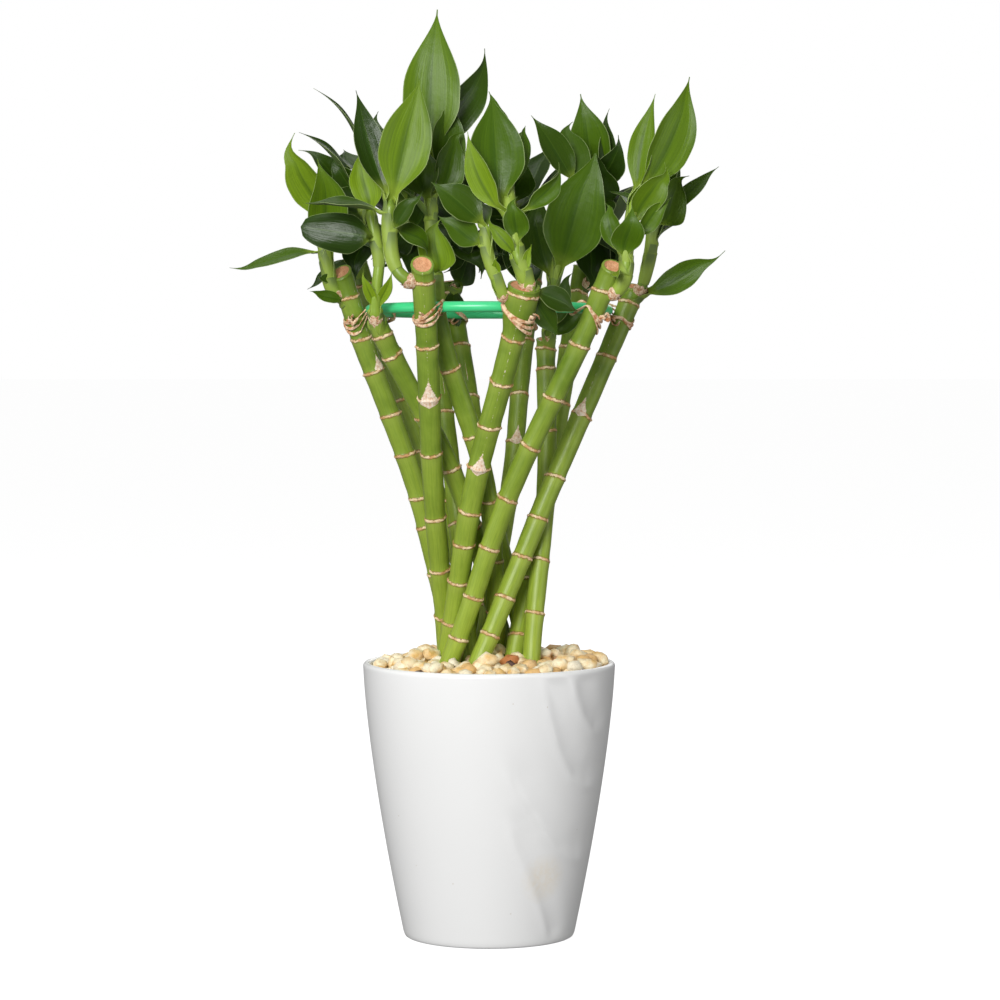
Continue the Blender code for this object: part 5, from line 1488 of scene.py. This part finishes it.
# Painted shade: darker bands along the blade, where its folds would be shaded.
fold_shade_bands = add_node(tree, "Mapping", {"Vector": uv, "Scale": (3.4, .6, 1)}).outputs[0]
fold_shade_noise = add_node(tree, "TexNoise", {"Vector": fold_shade_bands, "Scale": 1, "Detail": 2})
green = laid_over(tree, green, "#2b4a0a", fold_shade_noise.outputs["Fac"], .46, .62, .55)
off_middle = add_node(tree, "Math", {0: axes.outputs[0], 1: .5}, operation="SUBTRACT").outputs[0]
from_middle = add_node(tree, "Math", {0: off_middle}, operation="ABSOLUTE").outputs[0]
green = laid_over(tree, green, "#7d9c3c", from_middle, .03, .004, .12)
green = laid_over(tree, green, "#a8c048", pale, most=.8)
green = laid_over(tree, green, "#4f6636", collar, most=.8)
tree.links.new(laid_over(tree, green, "#c3d592", from_middle, .482, .496, .4),
               shader.inputs["Base Color"])
waxy = add_node(tree, "MapRange", {"Value": tone, "From Min": .1, "From Max": .9,
                                   "To Min": .46, "To Max": .30})
tree.links.new(waxy.outputs[0], shader.inputs["Roughness"])
ribs = add_node(tree, "Bump", {"Height": vein_noise.outputs["Fac"], "Strength": .3,
                               "Distance": .0004})
quilt = add_node(tree, "TexNoise", {"Vector": add_node(tree, "TexCoord").outputs["Object"],
                                    "Scale": 260, "Detail": 2})
puckers = add_node(tree, "Bump", {"Height": quilt.outputs["Fac"], "Strength": .25,
                                  "Distance": .0008, "Normal": ribs.outputs["Normal"]})
tree.links.new(puckers.outputs["Normal"], shader.inputs["Normal"])
print(leaf_upper.name, "nodes:", len(tree.nodes))

# %% Lower side of the leaves
# The underside has less wax, so it is duller and greyer, with raised veins.
leaf_lower, tree, shader = new_material("matt_leaf_underside", .55)
uv, tone, pale, collar = leaf_values(tree)
veins = add_node(tree, "Mapping", {"Vector": uv, "Scale": (30, .8, 1)}).outputs[0]
vein_noise = add_node(tree, "TexNoise", {"Vector": veins, "Scale": 1, "Detail": 2})
green = laid_over(tree, "#8aa63c", "#3c4d2a", tone)
green = laid_over(tree, green, "#52702a", vein_noise.outputs["Fac"], .4, .65, .35)
green = laid_over(tree, green, "#9fb843", pale, most=.75)
tree.links.new(laid_over(tree, green, "#55693c", collar, most=.75), shader.inputs["Base Color"])
ribs = add_node(tree, "Bump", {"Height": vein_noise.outputs["Fac"], "Strength": .3,
                               "Distance": .0004})
tree.links.new(ribs.outputs["Normal"], shader.inputs["Normal"])
print(leaf_lower.name, "nodes:", len(tree.nodes))

# %% Shoot stems
# Young stem: smooth, moist and fresh green, with streaks 2.4 mm apart; a
# stem is as dark as its leaves on average, which is their age and, for the
# shoots at the back, painted shade.
stem_skin, tree, shader = new_material("young_stem_skin", .38)
place = add_node(tree, "TexCoord").outputs["Object"]
streak = add_node(tree, "Mapping", {"Vector": place, "Scale": (420, 420, 40)}).outputs[0]
streak_noise = add_node(tree, "TexNoise", {"Vector": streak, "Scale": 1, "Detail": 2})
fresh = laid_over(tree, "#6d9025", "#a3bd46", streak_noise.outputs["Fac"])
age_and_shade = add_node(tree, "Attribute", attribute_name="tone").outputs["Fac"]
tree.links.new(laid_over(tree, fresh, "#2f4a16", age_and_shade, .5, .9, .8), shader.inputs["Base Color"])
print(stem_skin.name, "nodes:", len(tree.nodes))

# %% Bud scales
# Dry, flaky scales, from rust brown to straw, with no gloss. Flakes of 1.1 mm.
bud_scale, tree, shader = new_material("dry_bud_scale", .85)
place = add_node(tree, "TexCoord").outputs["Object"]
flakes = add_node(tree, "TexNoise", {"Vector": place, "Scale": 900, "Detail": 4, "Roughness": .7})
tree.links.new(laid_over(tree, "#b06a35", "#f5dfc0", flakes.outputs["Fac"], .35, .6),
               shader.inputs["Base Color"])
crumple = add_node(tree, "Bump", {"Height": flakes.outputs["Fac"], "Strength": .8,
                                  "Distance": .0005})
tree.links.new(crumple.outputs["Normal"], shader.inputs["Normal"])
print(bud_scale.name, "nodes:", len(tree.nodes))

# %% Build the shoots
for name, spec in SHOOTS.items():
    finish(build_shoot(name, spec), name + "_grown",
           [leaf_upper, leaf_lower, stem_skin, bud_scale], [name])
